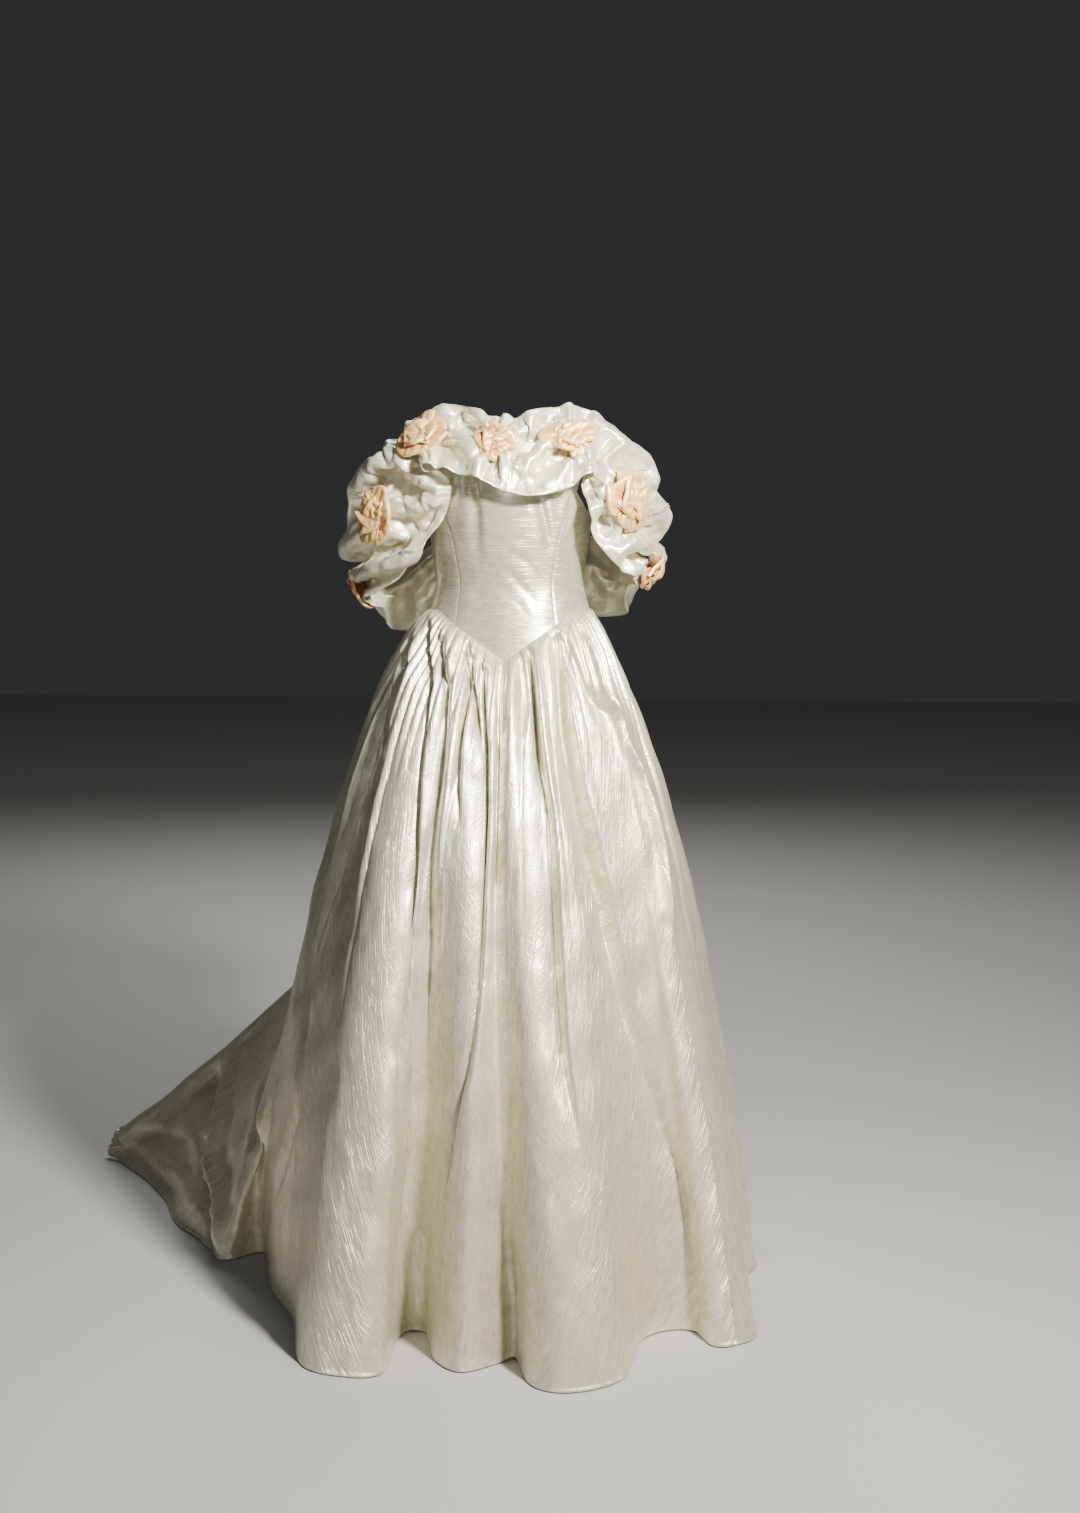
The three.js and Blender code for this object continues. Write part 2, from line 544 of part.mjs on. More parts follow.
/** Closed rose of three petal tiers round a bud, standing on its sewn base at the origin. */
function roseGeometry(radius) {
  const points = [new THREE.Vector3(0, 0, 0)];
  for (const { out, up, petal, turn } of ROSE_PROFILE) {
    for (let i = 0; i < ROSE_SIDES; i += 1) {
      const angle = 2 * Math.PI * i / ROSE_SIDES;
      const lobe = Math.cos(ROSE_PETALS * angle - Math.PI * turn);
      const reach = radius * out * (1 + petal * lobe);
      points.push(new THREE.Vector3(
        reach * Math.cos(angle), reach * Math.sin(angle), radius * up * (1 + petal * lobe)));
    }
  }
  points.push(new THREE.Vector3(0, 0, radius * ROSE_BUD_HEIGHT));
  const ring = (tier, i) => 1 + tier * ROSE_SIDES + (i % ROSE_SIDES);
  const top = ROSE_PROFILE.length - 1;
  const triangles = [];
  for (let i = 0; i < ROSE_SIDES; i += 1) {
    triangles.push([0, ring(0, i + 1), ring(0, i)]);
    for (let tier = 0; tier < top; tier += 1) {
      triangles.push([ring(tier, i), ring(tier, i + 1), ring(tier + 1, i + 1)]);
      triangles.push([ring(tier, i), ring(tier + 1, i + 1), ring(tier + 1, i)]);
    }
    triangles.push([ring(top, i), ring(top, i + 1), points.length - 1]);
  }
  return closedGeometry(points, triangles);
}

function makeRoses() {
  const roses = new THREE.Group();
  for (const { name, station, size, turnDeg, standOff } of ROSES) {
    const rose = namedMesh(name, roseGeometry(ROSE_RADIUS * size), roseSilk);
    const outward = ruffleNormal(station, 0);
    rose.position.copy(rufflePoint(station, 0)).addScaledVector(outward, standOff);
    rose.quaternion.setFromUnitVectors(new THREE.Vector3(0, 0, 1), outward);
    rose.rotateZ(radians(turnDeg));
    roses.add(rose);
  }
  return roses;
}

const gown = new THREE.Group();
gown.add(makeBodice(), makeSkirt(), makeRuffle(), makeRoses());

export default gown;
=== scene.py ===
import math

import bpy
import numpy as np
from mathutils import Matrix, Vector


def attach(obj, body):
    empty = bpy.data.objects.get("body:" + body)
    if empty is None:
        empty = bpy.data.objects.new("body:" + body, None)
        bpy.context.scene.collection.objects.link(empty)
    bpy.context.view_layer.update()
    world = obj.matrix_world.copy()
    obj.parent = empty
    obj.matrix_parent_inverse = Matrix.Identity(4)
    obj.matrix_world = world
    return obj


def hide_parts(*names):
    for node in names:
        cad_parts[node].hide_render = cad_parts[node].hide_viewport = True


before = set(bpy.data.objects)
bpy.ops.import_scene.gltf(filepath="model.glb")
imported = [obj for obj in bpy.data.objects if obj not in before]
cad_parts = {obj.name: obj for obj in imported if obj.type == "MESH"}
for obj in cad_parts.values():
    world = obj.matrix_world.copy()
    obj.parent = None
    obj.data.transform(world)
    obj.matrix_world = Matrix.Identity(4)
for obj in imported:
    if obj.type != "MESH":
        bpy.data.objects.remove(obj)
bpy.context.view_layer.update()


# View, light and floor
# The gown stands on a pale floor, seen from a little to its left and from above its waist. A soft lamp lights
# it from the front and its left, a weak one fills the shadows, and two more stand at its right and behind.

FLOOR_HEIGHT = -1.1
FLOOR_CLEARANCE = 0.0015
FLOOR_REACH = 9
VIEW_DISTANCE = 3.6
VIEW_HEIGHT = 0.24
VIEW_TURN = math.radians(5)
VIEW_DIP = math.radians(7.53)
PICTURE_HEIGHT = 1513  # pixels
PICTURE_FOCAL = 2264  # focal length in pixels
AXIS_SHIFT = 30  # pixels from the gown's axis to the middle of the picture
VIEW_AIM = math.atan(AXIS_SHIFT / PICTURE_FOCAL)
SENSOR_WIDTH = 36


def place_camera():
    level = Vector((-math.sin(VIEW_TURN), math.cos(VIEW_TURN), 0))
    across = Vector((math.cos(VIEW_TURN), math.sin(VIEW_TURN), 0))
    aim = math.cos(VIEW_AIM) * level + math.sin(VIEW_AIM) * across
    right = math.cos(VIEW_AIM) * across - math.sin(VIEW_AIM) * level
    ahead = math.cos(VIEW_DIP) * aim - math.sin(VIEW_DIP) * Vector((0, 0, 1))
    up = math.sin(VIEW_DIP) * aim + math.cos(VIEW_DIP) * Vector((0, 0, 1))
    lens = bpy.data.cameras.new("photo_view")
    lens.sensor_width = SENSOR_WIDTH
    lens.lens = SENSOR_WIDTH * (PICTURE_FOCAL / PICTURE_HEIGHT)
    camera = bpy.data.objects.new("photo_view", lens)
    turn = Matrix((right, up, -ahead)).transposed().to_4x4()
    camera.matrix_world = Matrix.Translation(-VIEW_DISTANCE * level + Vector((0, 0, VIEW_HEIGHT))) @ turn
    bpy.context.scene.collection.objects.link(camera)
    bpy.context.scene.camera = camera


def soft_lamp(name, place, aim, size, watts, colour):
    data = bpy.data.lights.new(name, "AREA")
    data.shape = "DISK"
    data.size = size
    data.energy = watts
    data.color = colour
    lamp = bpy.data.objects.new(name, data)
    lamp.location = place
    lamp.rotation_mode = "QUATERNION"
    lamp.rotation_quaternion = (Vector(aim) - Vector(place)).to_track_quat("-Z", "Y")
    bpy.context.scene.collection.objects.link(lamp)


place_camera()
soft_lamp("key_lamp", (1.02, -1.48, 0.95), (0, 0, 0.4), 0.28, 190, (1, 0.965, 0.9))
soft_lamp("fill_lamp", (0.1, -3.4, 0.4), (0, 0, 0.2), 0.5, 12, (1, 0.98, 0.95))
soft_lamp("side_lamp", (-2.6, -2.6, 0.9), (0, 0, -0.3), 1.6, 5, (0.95, 0.97, 1))
soft_lamp("back_lamp", (-0.6, 3.4, 1.8), (-0.2, 0.2, -0.4), 1.8, 80, (1, 0.98, 0.95))

world = bpy.data.worlds.new("studio")
world.use_nodes = True
world.node_tree.nodes["Background"].inputs["Color"].default_value = (0.5, 0.52, 0.55, 1)
world.node_tree.nodes["Background"].inputs["Strength"].default_value = 0.06
bpy.context.scene.world = world

floor_mesh = bpy.data.meshes.new("floor")
floor_level = FLOOR_HEIGHT - FLOOR_CLEARANCE
corner_signs = ((-1, -1), (1, -1), (1, 1), (-1, 1))
floor_corners = [(FLOOR_REACH * x, FLOOR_REACH * y, floor_level) for x, y in corner_signs]
floor_mesh.from_pydata(floor_corners, [], [(0, 1, 2, 3)])
floor = bpy.data.objects.new("floor", floor_mesh)
bpy.context.scene.collection.objects.link(floor)
floor_paint = bpy.data.materials.new("floor_paint")
floor_paint.use_nodes = True
floor_shader = floor_paint.node_tree.nodes["Principled BSDF"]
floor_shader.inputs["Base Color"].default_value = (0.42, 0.415, 0.4, 1)
floor_shader.inputs["Roughness"].default_value = 0.7
floor_mesh.materials.append(floor_paint)


# Bodice
# Five panels of ivory slubbed silk on an interlining: a pointed centre front, two side fronts that meet it
# at curved princess seams, and two low backs. They are sewn edge to edge, and the slubs run round the body.

BODY_FORM = np.array([  # height, half width, depth to the front, depth to the back
    (-130, 158, 124, 122), (-80, 143, 109, 107), (0, 124, 94, 92), (45, 115, 89, 84),
    (100, 122, 102, 88), (160, 129, 116, 92), (215, 133, 115, 94), (270, 136, 108, 94)], float)
PRINCESS_SEAM = np.array([  # height, degrees from the front
    (-30, 36.5), (75, 39), (125, 42), (172, 53), (225, 62), (262, 65)], float)
FRONT_TOP = np.array([(0, 260), (0.6, 260), (1, 240)], float)  # share across, height
SIDE_TOP = np.array([(0, 186), (0.5, 160), (1, 150)], float)
BACK_TOP = np.array([(0, 150), (0.22, 118), (0.4, 84), (0.56, 63), (0.78, 67), (1, 71)], float)
WAIST_LEVEL = 4  # height of the waist seam at the sides
POINT_DROP = 75  # how far the seam falls at the front, and over how many degrees
POINT_SPAN = 62
POINT_CURVE = 1.35
BACK_DROP = 18
BODICE_WALL = 2.4
SEAM_SHARE = 0.15  # each edge's half of the gap at a seam
CREASE_REACH = 3.4  # widths away from its line at which a crease ends
BULGE_SHARE = 0.38  # the cloth beside a crease bulges the other way, by this share and this many widths
BULGE_SPREAD = 2.1
SILK_THICKNESS = 0.0008
BODICE_THICKNESS = 0.0012
IVORY_LIGHT = (0.78, 0.75, 0.59, 1)
IVORY_DEEP = (0.57, 0.55, 0.385, 1)
SLUB_COLOUR = (0.93, 0.9, 0.8, 1)
MOTTLE_POLISH = 0.13  # how much less rough the mottled places are
SILK_BUMP = 0.8


def smooth(rows, column, x):
    """Value of a column at each x, on a smooth curve through the rows. The first column is the key."""
    keys = rows[:, 0]
    values = rows[:, column]
    at = np.clip(x, keys[0], keys[-1])
    i = np.clip(np.searchsorted(keys, at) - 1, 0, len(keys) - 2)
    before = np.maximum(i - 1, 0)
    after = np.minimum(i + 2, len(keys) - 1)
    span = keys[i + 1] - keys[i]
    slope_in = (values[i + 1] - values[before]) / (keys[i + 1] - keys[before])
    slope_out = (values[after] - values[i]) / (keys[after] - keys[i])
    t = (at - keys[i]) / span
    ease = t * t * (3 - 2 * t)
    return ((1 - ease) * values[i] + ease * values[i + 1]
            + (t - 2 * t ** 2 + t ** 3) * span * slope_in + (t ** 3 - t ** 2) * span * slope_out)


def ease_between(x, low, high):
    t = np.clip((x - low) / (high - low), 0, 1)
    return t * t * (3 - 2 * t)


def body_point(deg, z, out):
    """Points round the body form at an angle from the front and a height, moved out from the form."""
    side = smooth(BODY_FORM, 1, z)
    depth = np.where(np.abs(deg) < 90, smooth(BODY_FORM, 2, z), smooth(BODY_FORM, 3, z))
    sin = np.sin(np.radians(deg))
    cos = np.cos(np.radians(deg))
    facing = np.stack([sin / side, -cos / depth], -1)
    facing /= np.linalg.norm(facing, axis=-1, keepdims=True)
    return np.stack([side * sin + facing[..., 0] * out, -depth * cos + facing[..., 1] * out, z + 0 * sin], -1)


def waist_seam(deg):
    """Height of the waist seam: a point at the front, level sides and a low back."""
    from_front = np.abs(deg)
    point = POINT_DROP * np.maximum(0, 1 - from_front / POINT_SPAN) ** POINT_CURVE
    return WAIST_LEVEL - point - BACK_DROP * ease_between(from_front, 100, 180)


def facing_of(points):
    """Outward normals of a grid of points whose rows run down and whose columns run round to the left."""
    down = np.gradient(points, axis=0)
    along = np.gradient(points, axis=1)
    normal = np.cross(down, along)
    return normal / np.maximum(np.linalg.norm(normal, axis=-1, keepdims=True), 1e-9)


def press_crease(offset, points, normals, line, depths, width, lean=0.0, sharp=2.0, gentle=1.0):
    """Adds one crease along a line to a grid's offsets: a ridge, or a furrow where the depth is negative.

    Sharp is 2 for a soft crease and 1 for one with a keen edge. Lean pushes the crease over to one side.
    Gentle is how many times wider the crease is on its right hand side, looking along the line.
    """
    flat = points.reshape(-1, 3)
    reach = CREASE_REACH * width * gentle
    index = np.flatnonzero(np.all((flat > line.min(0) - reach) & (flat < line.max(0) + reach), axis=1))
    if not len(index):
        return
    place = flat[index]
    facing = normals.reshape(-1, 3)[index]
    best = np.full(len(index), 1e9)
    depth = np.zeros(len(index))
    sideways = np.zeros((len(index), 3))
    side = np.zeros(len(index))
    for a, b, depth_a, depth_b in zip(line[:-1], line[1:], depths[:-1], depths[1:]):
        step = b - a
        t = np.clip((place - a) @ step / max(step @ step, 1e-9), 0, 1)
        away = place - a - t[:, None] * step
        distance = np.linalg.norm(away, axis=1)
        closer = distance < best
        best = np.where(closer, distance, best)
        depth = np.where(closer, depth_a + (depth_b - depth_a) * t, depth)
        sideways[closer] = np.cross(facing[closer], step / max(np.linalg.norm(step), 1e-9))
        side[closer] = (away[closer] * sideways[closer]).sum(1)
    q = best / (width * np.where(side < 0, gentle, 1))
    height = depth * (np.exp(-q ** sharp) - BULGE_SHARE * np.exp(-(q / BULGE_SPREAD) ** 2))
    push = lean * np.abs(depth) * np.exp(-q * q)
    offset.reshape(-1, 3)[index] += facing * height[:, None] + sideways * push[:, None]


def grid_faces(rows, columns):
    """Corners of the four-sided faces of a grid, counted row by row."""
    corner = np.arange(rows * columns).reshape(rows, columns)
    return np.stack([corner[:-1, :-1], corner[1:, :-1], corner[1:, 1:], corner[:-1, 1:]], -1).reshape(-1, 4)


def cloth_piece(name, points, cloth_place, material, thickness=SILK_THICKNESS):
    """Thin shell through a grid of points in millimetres, with each one's place on the cut in metres."""
    rows, columns = points.shape[:2]
    mesh = bpy.data.meshes.new(name)
    faces = grid_faces(rows, columns)
    mesh.from_pydata((points.reshape(-1, 3) * 0.001).tolist(), [], faces.tolist())
    places = mesh.uv_layers.new(name="cloth_place")
    places.data.foreach_set("uv", cloth_place.reshape(-1, 2)[faces.ravel()].astype(np.float32).ravel())
    mesh.polygons.foreach_set("use_smooth", np.ones(len(faces), bool))
    mesh.materials.append(material)
    mesh.update()
    ends = np.zeros(2 * len(mesh.edges), np.int32)
    mesh.edges.foreach_get("vertices", ends)
    row, column = np.divmod(ends.reshape(-1, 2), columns)
    border = np.zeros(len(mesh.edges), bool)
    for place, last in ((row, rows - 1), (column, columns - 1)):
        border |= np.all(place == 0, axis=1) | np.all(place == last, axis=1)
    mesh.attributes.new("sharp_edge", "BOOLEAN", "EDGE").data.foreach_set("value", border)
    piece = bpy.data.objects.new(name, mesh)
    bpy.context.scene.collection.objects.link(piece)
    shell = piece.modifiers.new("silk", "SOLIDIFY")
    shell.thickness = thickness
    shell.offset = -1
    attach(piece, "root")
    return piece


def lengths_along(points, axis):
    """Distance in metres from the first point of each row or column."""
    step = np.linalg.norm(np.diff(points, axis=axis), axis=-1) * 0.001
    start = np.zeros_like(np.take(step, [0], axis=axis))
    return np.concatenate([start, np.cumsum(step, axis=axis)], axis=axis)


def new_link(tree, source, output, target, input_name):
    tree.links.new(source.outputs[output], target.inputs[input_name])


def slubbed_weave():
    """Node group for slubbed silk. Slubs run along the first axis of the cloth place, which is in metres."""
    group = bpy.data.node_groups.new("slubbed_weave", "ShaderNodeTree")
    group.interface.new_socket("Cloth Place", in_out="INPUT", socket_type="NodeSocketVector")
    group.interface.new_socket("Crush", in_out="INPUT", socket_type="NodeSocketFloat")
    for name in ("Slub", "Mottle", "Height"):
        group.interface.new_socket(name, in_out="OUTPUT", socket_type="NodeSocketFloat")
    inside = group.nodes.new("NodeGroupInput")
    outside = group.nodes.new("NodeGroupOutput")

    def streaks(along, across, detail, distortion, slant=0):
        turn = group.nodes.new("ShaderNodeMapping")
        turn.inputs["Rotation"].default_value = (0, 0, math.radians(slant))
        scale = group.nodes.new("ShaderNodeMapping")
        scale.inputs["Scale"].default_value = (along, across, 1)
        noise = group.nodes.new("ShaderNodeTexNoise")
        noise.inputs["Scale"].default_value = 1
        noise.inputs["Detail"].default_value = detail
        noise.inputs["Distortion"].default_value = distortion
        new_link(group, inside, "Cloth Place", turn, "Vector")
        new_link(group, turn, "Vector", scale, "Vector")
        new_link(group, scale, "Vector", noise, "Vector")
        return noise

    def ramp(source, low, high):
        node = group.nodes.new("ShaderNodeMapRange")
        node.inputs["From Min"].default_value = low
        node.inputs["From Max"].default_value = high
        new_link(group, source, "Fac", node, "Value")
        return node

    def combined(first, second, operation, factor=None):
        node = group.nodes.new("ShaderNodeMath")
        node.operation = operation
        group.links.new(first, node.inputs[0])
        if factor is None:
            group.links.new(second, node.inputs[1])
        else:
            node.inputs[1].default_value = factor
        return node.outputs[0]

    long_slub = ramp(streaks(7, 420, 1.5, 0), 0.57, 0.8).outputs["Result"]
    short_slub = ramp(streaks(22, 640, 1.5, 0), 0.59, 0.82).outputs["Result"]
    slub = combined(long_slub, short_slub, "MAXIMUM")
    weft = streaks(26, 560, 1, 0).outputs["Fac"]
    warp = combined(streaks(560, 90, 1, 0).outputs["Fac"], None, "MULTIPLY", 0.15)
    grain = combined(weft, warp, "ADD")
    mottle = ramp(streaks(60, 110, 3, 0.6), 0.32, 0.7).outputs["Result"]
    hatch = combined(ramp(streaks(24, 300, 2, 0.3, 34), 0.5, 0.72).outputs["Result"],
                     ramp(streaks(26, 330, 2, 0.3, -40), 0.52, 0.74).outputs["Result"], "ADD")
    patches = ramp(streaks(7, 9, 2, 0.4), 0.42, 0.62).outputs["Result"]
    hatched = combined(combined(hatch, patches, "MULTIPLY"), None, "MULTIPLY", 0.4)
    crushed = combined(hatched, inside.outputs["Crush"], "MULTIPLY")
    crinkle = combined(streaks(300, 420, 2, 0.5).outputs["Fac"], None, "MULTIPLY", 0.45)
    crushed = combined(crushed, combined(crinkle, inside.outputs["Crush"], "MULTIPLY"), "ADD")
    raised = combined(slub, None, "MULTIPLY", 0.8)
    height = combined(combined(combined(grain, None, "MULTIPLY", 0.3), raised, "ADD"), crushed, "ADD")
    group.links.new(slub, outside.inputs["Slub"])
    group.links.new(mottle, outside.inputs["Mottle"])
    group.links.new(height, outside.inputs["Height"])
    return group


SLUBBED_WEAVE = slubbed_weave()


def woven_finish(name, light, deep, roughest, smoothest, bump_strength, bump_distance):
    """Start of a cloth material: its weave, roughness and bump, and a mix of two colours, not linked yet."""
    material = bpy.data.materials.new(name)
    material.use_nodes = True
    tree = material.node_tree
    shader = tree.nodes["Principled BSDF"]
    place = tree.nodes.new("ShaderNodeUVMap")
    place.uv_map = "cloth_place"
    weave = tree.nodes.new("ShaderNodeGroup")
    weave.node_tree = SLUBBED_WEAVE
    new_link(tree, place, "UV", weave, "Cloth Place")
    colours = tree.nodes.new("ShaderNodeMix")
    colours.data_type = "RGBA"
    colours.inputs["A"].default_value = deep
    colours.inputs["B"].default_value = light
    rough = tree.nodes.new("ShaderNodeMapRange")
    rough.inputs["To Min"].default_value = roughest
    rough.inputs["To Max"].default_value = smoothest
    new_link(tree, weave, "Mottle", rough, "Value")
    new_link(tree, rough, "Result", shader, "Roughness")
    bump = tree.nodes.new("ShaderNodeBump")
    bump.inputs["Strength"].default_value = bump_strength
    bump.inputs["Distance"].default_value = bump_distance
    new_link(tree, weave, "Height", bump, "Height")
    new_link(tree, bump, "Normal", shader, "Normal")
    return material, shader, weave, colours


def silk_finish(name, light, deep, bump_distance, crush, stretch, roughest, metal):
    """Ivory slubbed silk: satiny, with paler raised slubs, a mottled sheen and crushed patches."""
    material, shader, weave, colours = woven_finish(
        name, light, deep, roughest, roughest - MOTTLE_POLISH, SILK_BUMP, bump_distance)
    tree = material.node_tree
    weave.inputs["Crush"].default_value = crush
    new_link(tree, weave, "Mottle", colours, "Factor")
    slubs = tree.nodes.new("ShaderNodeMix")
    slubs.data_type = "RGBA"
    slubs.inputs["B"].default_value = SLUB_COLOUR
    new_link(tree, weave, "Slub", slubs, "Factor")
    new_link(tree, colours, "Result", slubs, "A")
    new_link(tree, slubs, "Result", shader, "Base Color")
    thread = tree.nodes.new("ShaderNodeTangent")
    thread.direction_type = "UV_MAP"
    thread.uv_map = "cloth_place"
    new_link(tree, thread, "Tangent", shader, "Tangent")
    shader.inputs["Anisotropic"].default_value = stretch
    shader.inputs["Anisotropic Rotation"].default_value = 0.25
    shader.inputs["Metallic"].default_value = metal
    shader.inputs["Specular IOR Level"].default_value = 0.6
    shader.inputs["Sheen Weight"].default_value = 0.06
    shader.inputs["Sheen Roughness"].default_value = 0.4
    shader.inputs["Sheen Tint"].default_value = (1, 0.97, 0.9, 1)
    return material


bodice_silk = silk_finish("bodice_silk", IVORY_LIGHT, IVORY_DEEP, bump_distance=0.0007, crush=0.3,
                          stretch=0.6, roughest=0.4, metal=0.62)


def bodice_panel(name, from_deg, to_deg, top_edge, rows, columns):
    """Panel between two edges, given as degrees at a height, from its waist seam up to its top edge."""
    u = np.linspace(0, 1, columns)
    seam = np.zeros(columns)
    for _ in range(4):
        seam = waist_seam(from_deg(seam) + (to_deg(seam) - from_deg(seam)) * u)
    z = seam + (top_edge(u) - seam) * np.linspace(1, 0, rows)[:, None]
    deg = from_deg(z) + (to_deg(z) - from_deg(z)) * u
    points = body_point(deg, z, BODICE_WALL)
    normals = facing_of(points)
    around = lengths_along(points, 1)
    edge = np.minimum(around, around[:, -1:] - around) * 1000
    ripple = np.sin(0.11 * z + 2.2 * u) * 0.35 + np.sin(0.043 * z - 5 * u + 1) * 0.5
    turned = -0.7 * np.exp(-(edge / 1.4) ** 2)
    pucker = 0.28 * np.exp(-(edge / 7) ** 2) * np.sin(z * 0.55 + 3 * u)
    fold_edge = 0.5 * np.exp(-((z - seam) / 5) ** 2)
    offset = normals * (turned + pucker + fold_edge + ripple * ease_between(edge, 4, 25))[..., None]
    for line, depth, width, lean in BODICE_CREASES.get(name, ()):
        line = np.array(line, float)
        path = body_point(line[:, 0], line[:, 1], BODICE_WALL)
        press_crease(offset, points, normals, path, depth * line[:, 2], width, lean)
    points = points + offset
    gap = SEAM_SHARE / np.maximum(np.linalg.norm(points[:, 1] - points[:, 0], axis=1), 1e-6)
    points[:, 0] += (points[:, 1] - points[:, 0]) * gap[:, None]
    points[:, -1] += (points[:, -2] - points[:, -1]) * gap[:, None]
    place = np.stack([around, z * 0.001], -1)
    piece = cloth_piece(name + "_silk", points, place, bodice_silk, BODICE_THICKNESS)
    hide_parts(name)
    return piece


# Drag creases: points as degrees, height and share of the depth; then depth, width and lean
BODICE_CREASES = {
    "bodice_front": (
        (((23, 190, 0.2), (25, 167, 1), (28, 144, 1), (31, 120, 0.8), (34, 88, 0)), -7, 9, 0.4),
        (((-22.5, 215, 0.6), (-20.7, 183, 1), (-19.7, 152, 1), (-19.5, 114, 0.5),
          (-20, 80, 0)), -6.5, 10, 0.3),
        (((-3, 114, 0), (4, 95, 0.8), (15, 83, 1), (27, 51, 0.8), (34, 30, 0)), -2.2, 7, 0.3),
        (((-10, 83, 0), (4, 60, 1), (19, 28, 0.8), (26, 5, 0)), -2, 7, 0.3),
        (((-4, 36, 0), (11, 13, 0.9), (18, -8, 0)), -1.6, 6, 0.3),
        (((-24, 140, 0), (-20, 95, 1), (-19, 50, 0)), -1.0, 10, 0),
        (((46, 190, 0.4), (44, 165, 1), (41, 130, 0.6), (39, 95, 0)), 2.4, 8, 0),
    ),
    "bodice_side_front_left": (
        (((52, 120, 0), (62, 95, 1), (76, 70, 0)), -1.0, 8, 0),
        (((45, 40, 0), (58, 32, 1), (74, 22, 0)), -0.9, 7, 0),
    ),
    "bodice_side_front_right": (
        (((-52, 110, 0), (-62, 88, 1), (-76, 66, 0)), -1.0, 8, 0),
        (((-44, 45, 0), (-58, 35, 1), (-74, 24, 0)), -0.9, 7, 0),
    ),
    "bodice_back_left": (
        (((110, 60, 0), (128, 48, 1), (150, 40, 0)), -1.1, 8, 0),
        (((108, 20, 0), (130, 14, 1), (158, 4, 0)), -1.0, 7, 0),
    ),
    "bodice_back_right": (
        (((-112, 64, 0), (-130, 50, 1), (-148, 42, 0)), -1.1, 8, 0),
        (((-106, 22, 0), (-128, 15, 1), (-156, 3, 0)), -1.0, 7, 0),
    ),
}


def princess(z):
    return smooth(PRINCESS_SEAM, 1, z)


def right_princess(z):
    return -princess(z)


def constant(value):
    return lambda z: value + 0 * z


def front_edge(u):
    return smooth(FRONT_TOP, 1, np.abs(2 * u - 1))


def left_edge(rows):
    return lambda u: smooth(rows, 1, u)


def right_edge(rows):
    return lambda u: smooth(rows, 1, 1 - u)


# Name, edges, top edge, rows and columns of each panel
bodice_panel("bodice_front", right_princess, princess, front_edge, 110, 90)
bodice_panel("bodice_side_front_left", princess, constant(90), left_edge(SIDE_TOP), 64, 40)
bodice_panel("bodice_side_front_right", constant(-90), right_princess, right_edge(SIDE_TOP), 64, 40)
bodice_panel("bodice_back_left", constant(90), constant(180), left_edge(BACK_TOP), 50, 64)
bodice_panel("bodice_back_right", constant(-180), constant(-90), right_edge(BACK_TOP), 50, 64)


# Skirt
# Five panels of the same silk, with the slubs running down. They are gathered into the waist seam, fall in
# deep folds to the floor and run out into a train that swings to the right. The hem is a narrow roll.

SKIRT_BELL = np.array([  # degrees, reach at the floor before the folds
    (-180, 440), (-135, 448), (-95, 452), (-50, 400), (0, 395), (45, 372), (90, 398), (135, 425)], float)
SKIRT_FOLDS = np.array([  # degrees at the waist, X and Y of the hem, how late the fold grows
    (-180, -850, 660, 1.65), (-163, -795, 545, 1.8), (-150, -722, 440, 2), (-139, -661, 331, 2.3),
    (-129, -615, 215, 2.5), (-120, -552, 130, 2.6), (-114, -527, 84, 2.6), (-109, -504, 46, 2.6),
    (-104.5, -480, 32, 2.6), (-100, -457, 54, 2.6), (-95, -433, 70, 2.6), (-89, -415, 40, 2.5),
    (-82, -400, -28, 2.2), (-73, -381, -99, 2), (-58, -322, -230, 2), (-45, -280, -395, 1.8),
    (-34, -207, -437, 1.8), (-27, -154, -420, 2), (-23, -152, -325, 2), (-19.5, -143, -262, 2),
    (-15.5, -112, -258, 2), (-12, -96, -312, 2), (-8.5, -80, -370, 2), (-4, -38, -408, 1.8),
    (0, 12, -372, 1.8), (4, 38, -352, 2), (8, 67, -446, 2), (15, 126, -470, 1.8), (24, 196, -422, 1.8),
    (30, 213, -345, 2), (37, 224, -265, 2), (45, 262, -224, 2), (52, 305, -226, 2), (57, 332, -280, 2),
    (64, 368, -274, 2), (73, 400, -228, 2), (82, 378, -110, 2), (91, 376, -10, 2), (100, 404, 78, 2),
    (109, 372, 190, 2), (119, 392, 300, 2), (129, 300, 375, 2), (138, 262, 515, 2), (147, 110, 560, 2),
    (155, 0, 690, 1.9), (163, -220, 715, 1.8), (171, -470, 800, 1.7)], float)
WAIST_GAP = 0.7
FLOOR_DROP = -1100
SKIRT_STEP = 4.2  # millimetres between columns, measured two thirds of the way down
GATHER_COUNT = 64
WAIST_TUCK = np.array([0, 0, 5.0])  # how far the top edge runs up under the bodice
TUCK_DEPTH = 2.2
HEM_ROLL = 1.5  # how far the rolled hem stands out, how far up it sits, and its half width
HEM_RISE = 2.6
HEM_HALF = 2
GATHER_DEPTH = (6, 14)  # shallowest and deepest gather
GATHER_RUN = (0.12, 0.3)  # share of the way down at which the shortest and the longest usual gather ends
LONG_GATHER = 2.4  # one gather in four runs this many times further
SWAY = 0.9

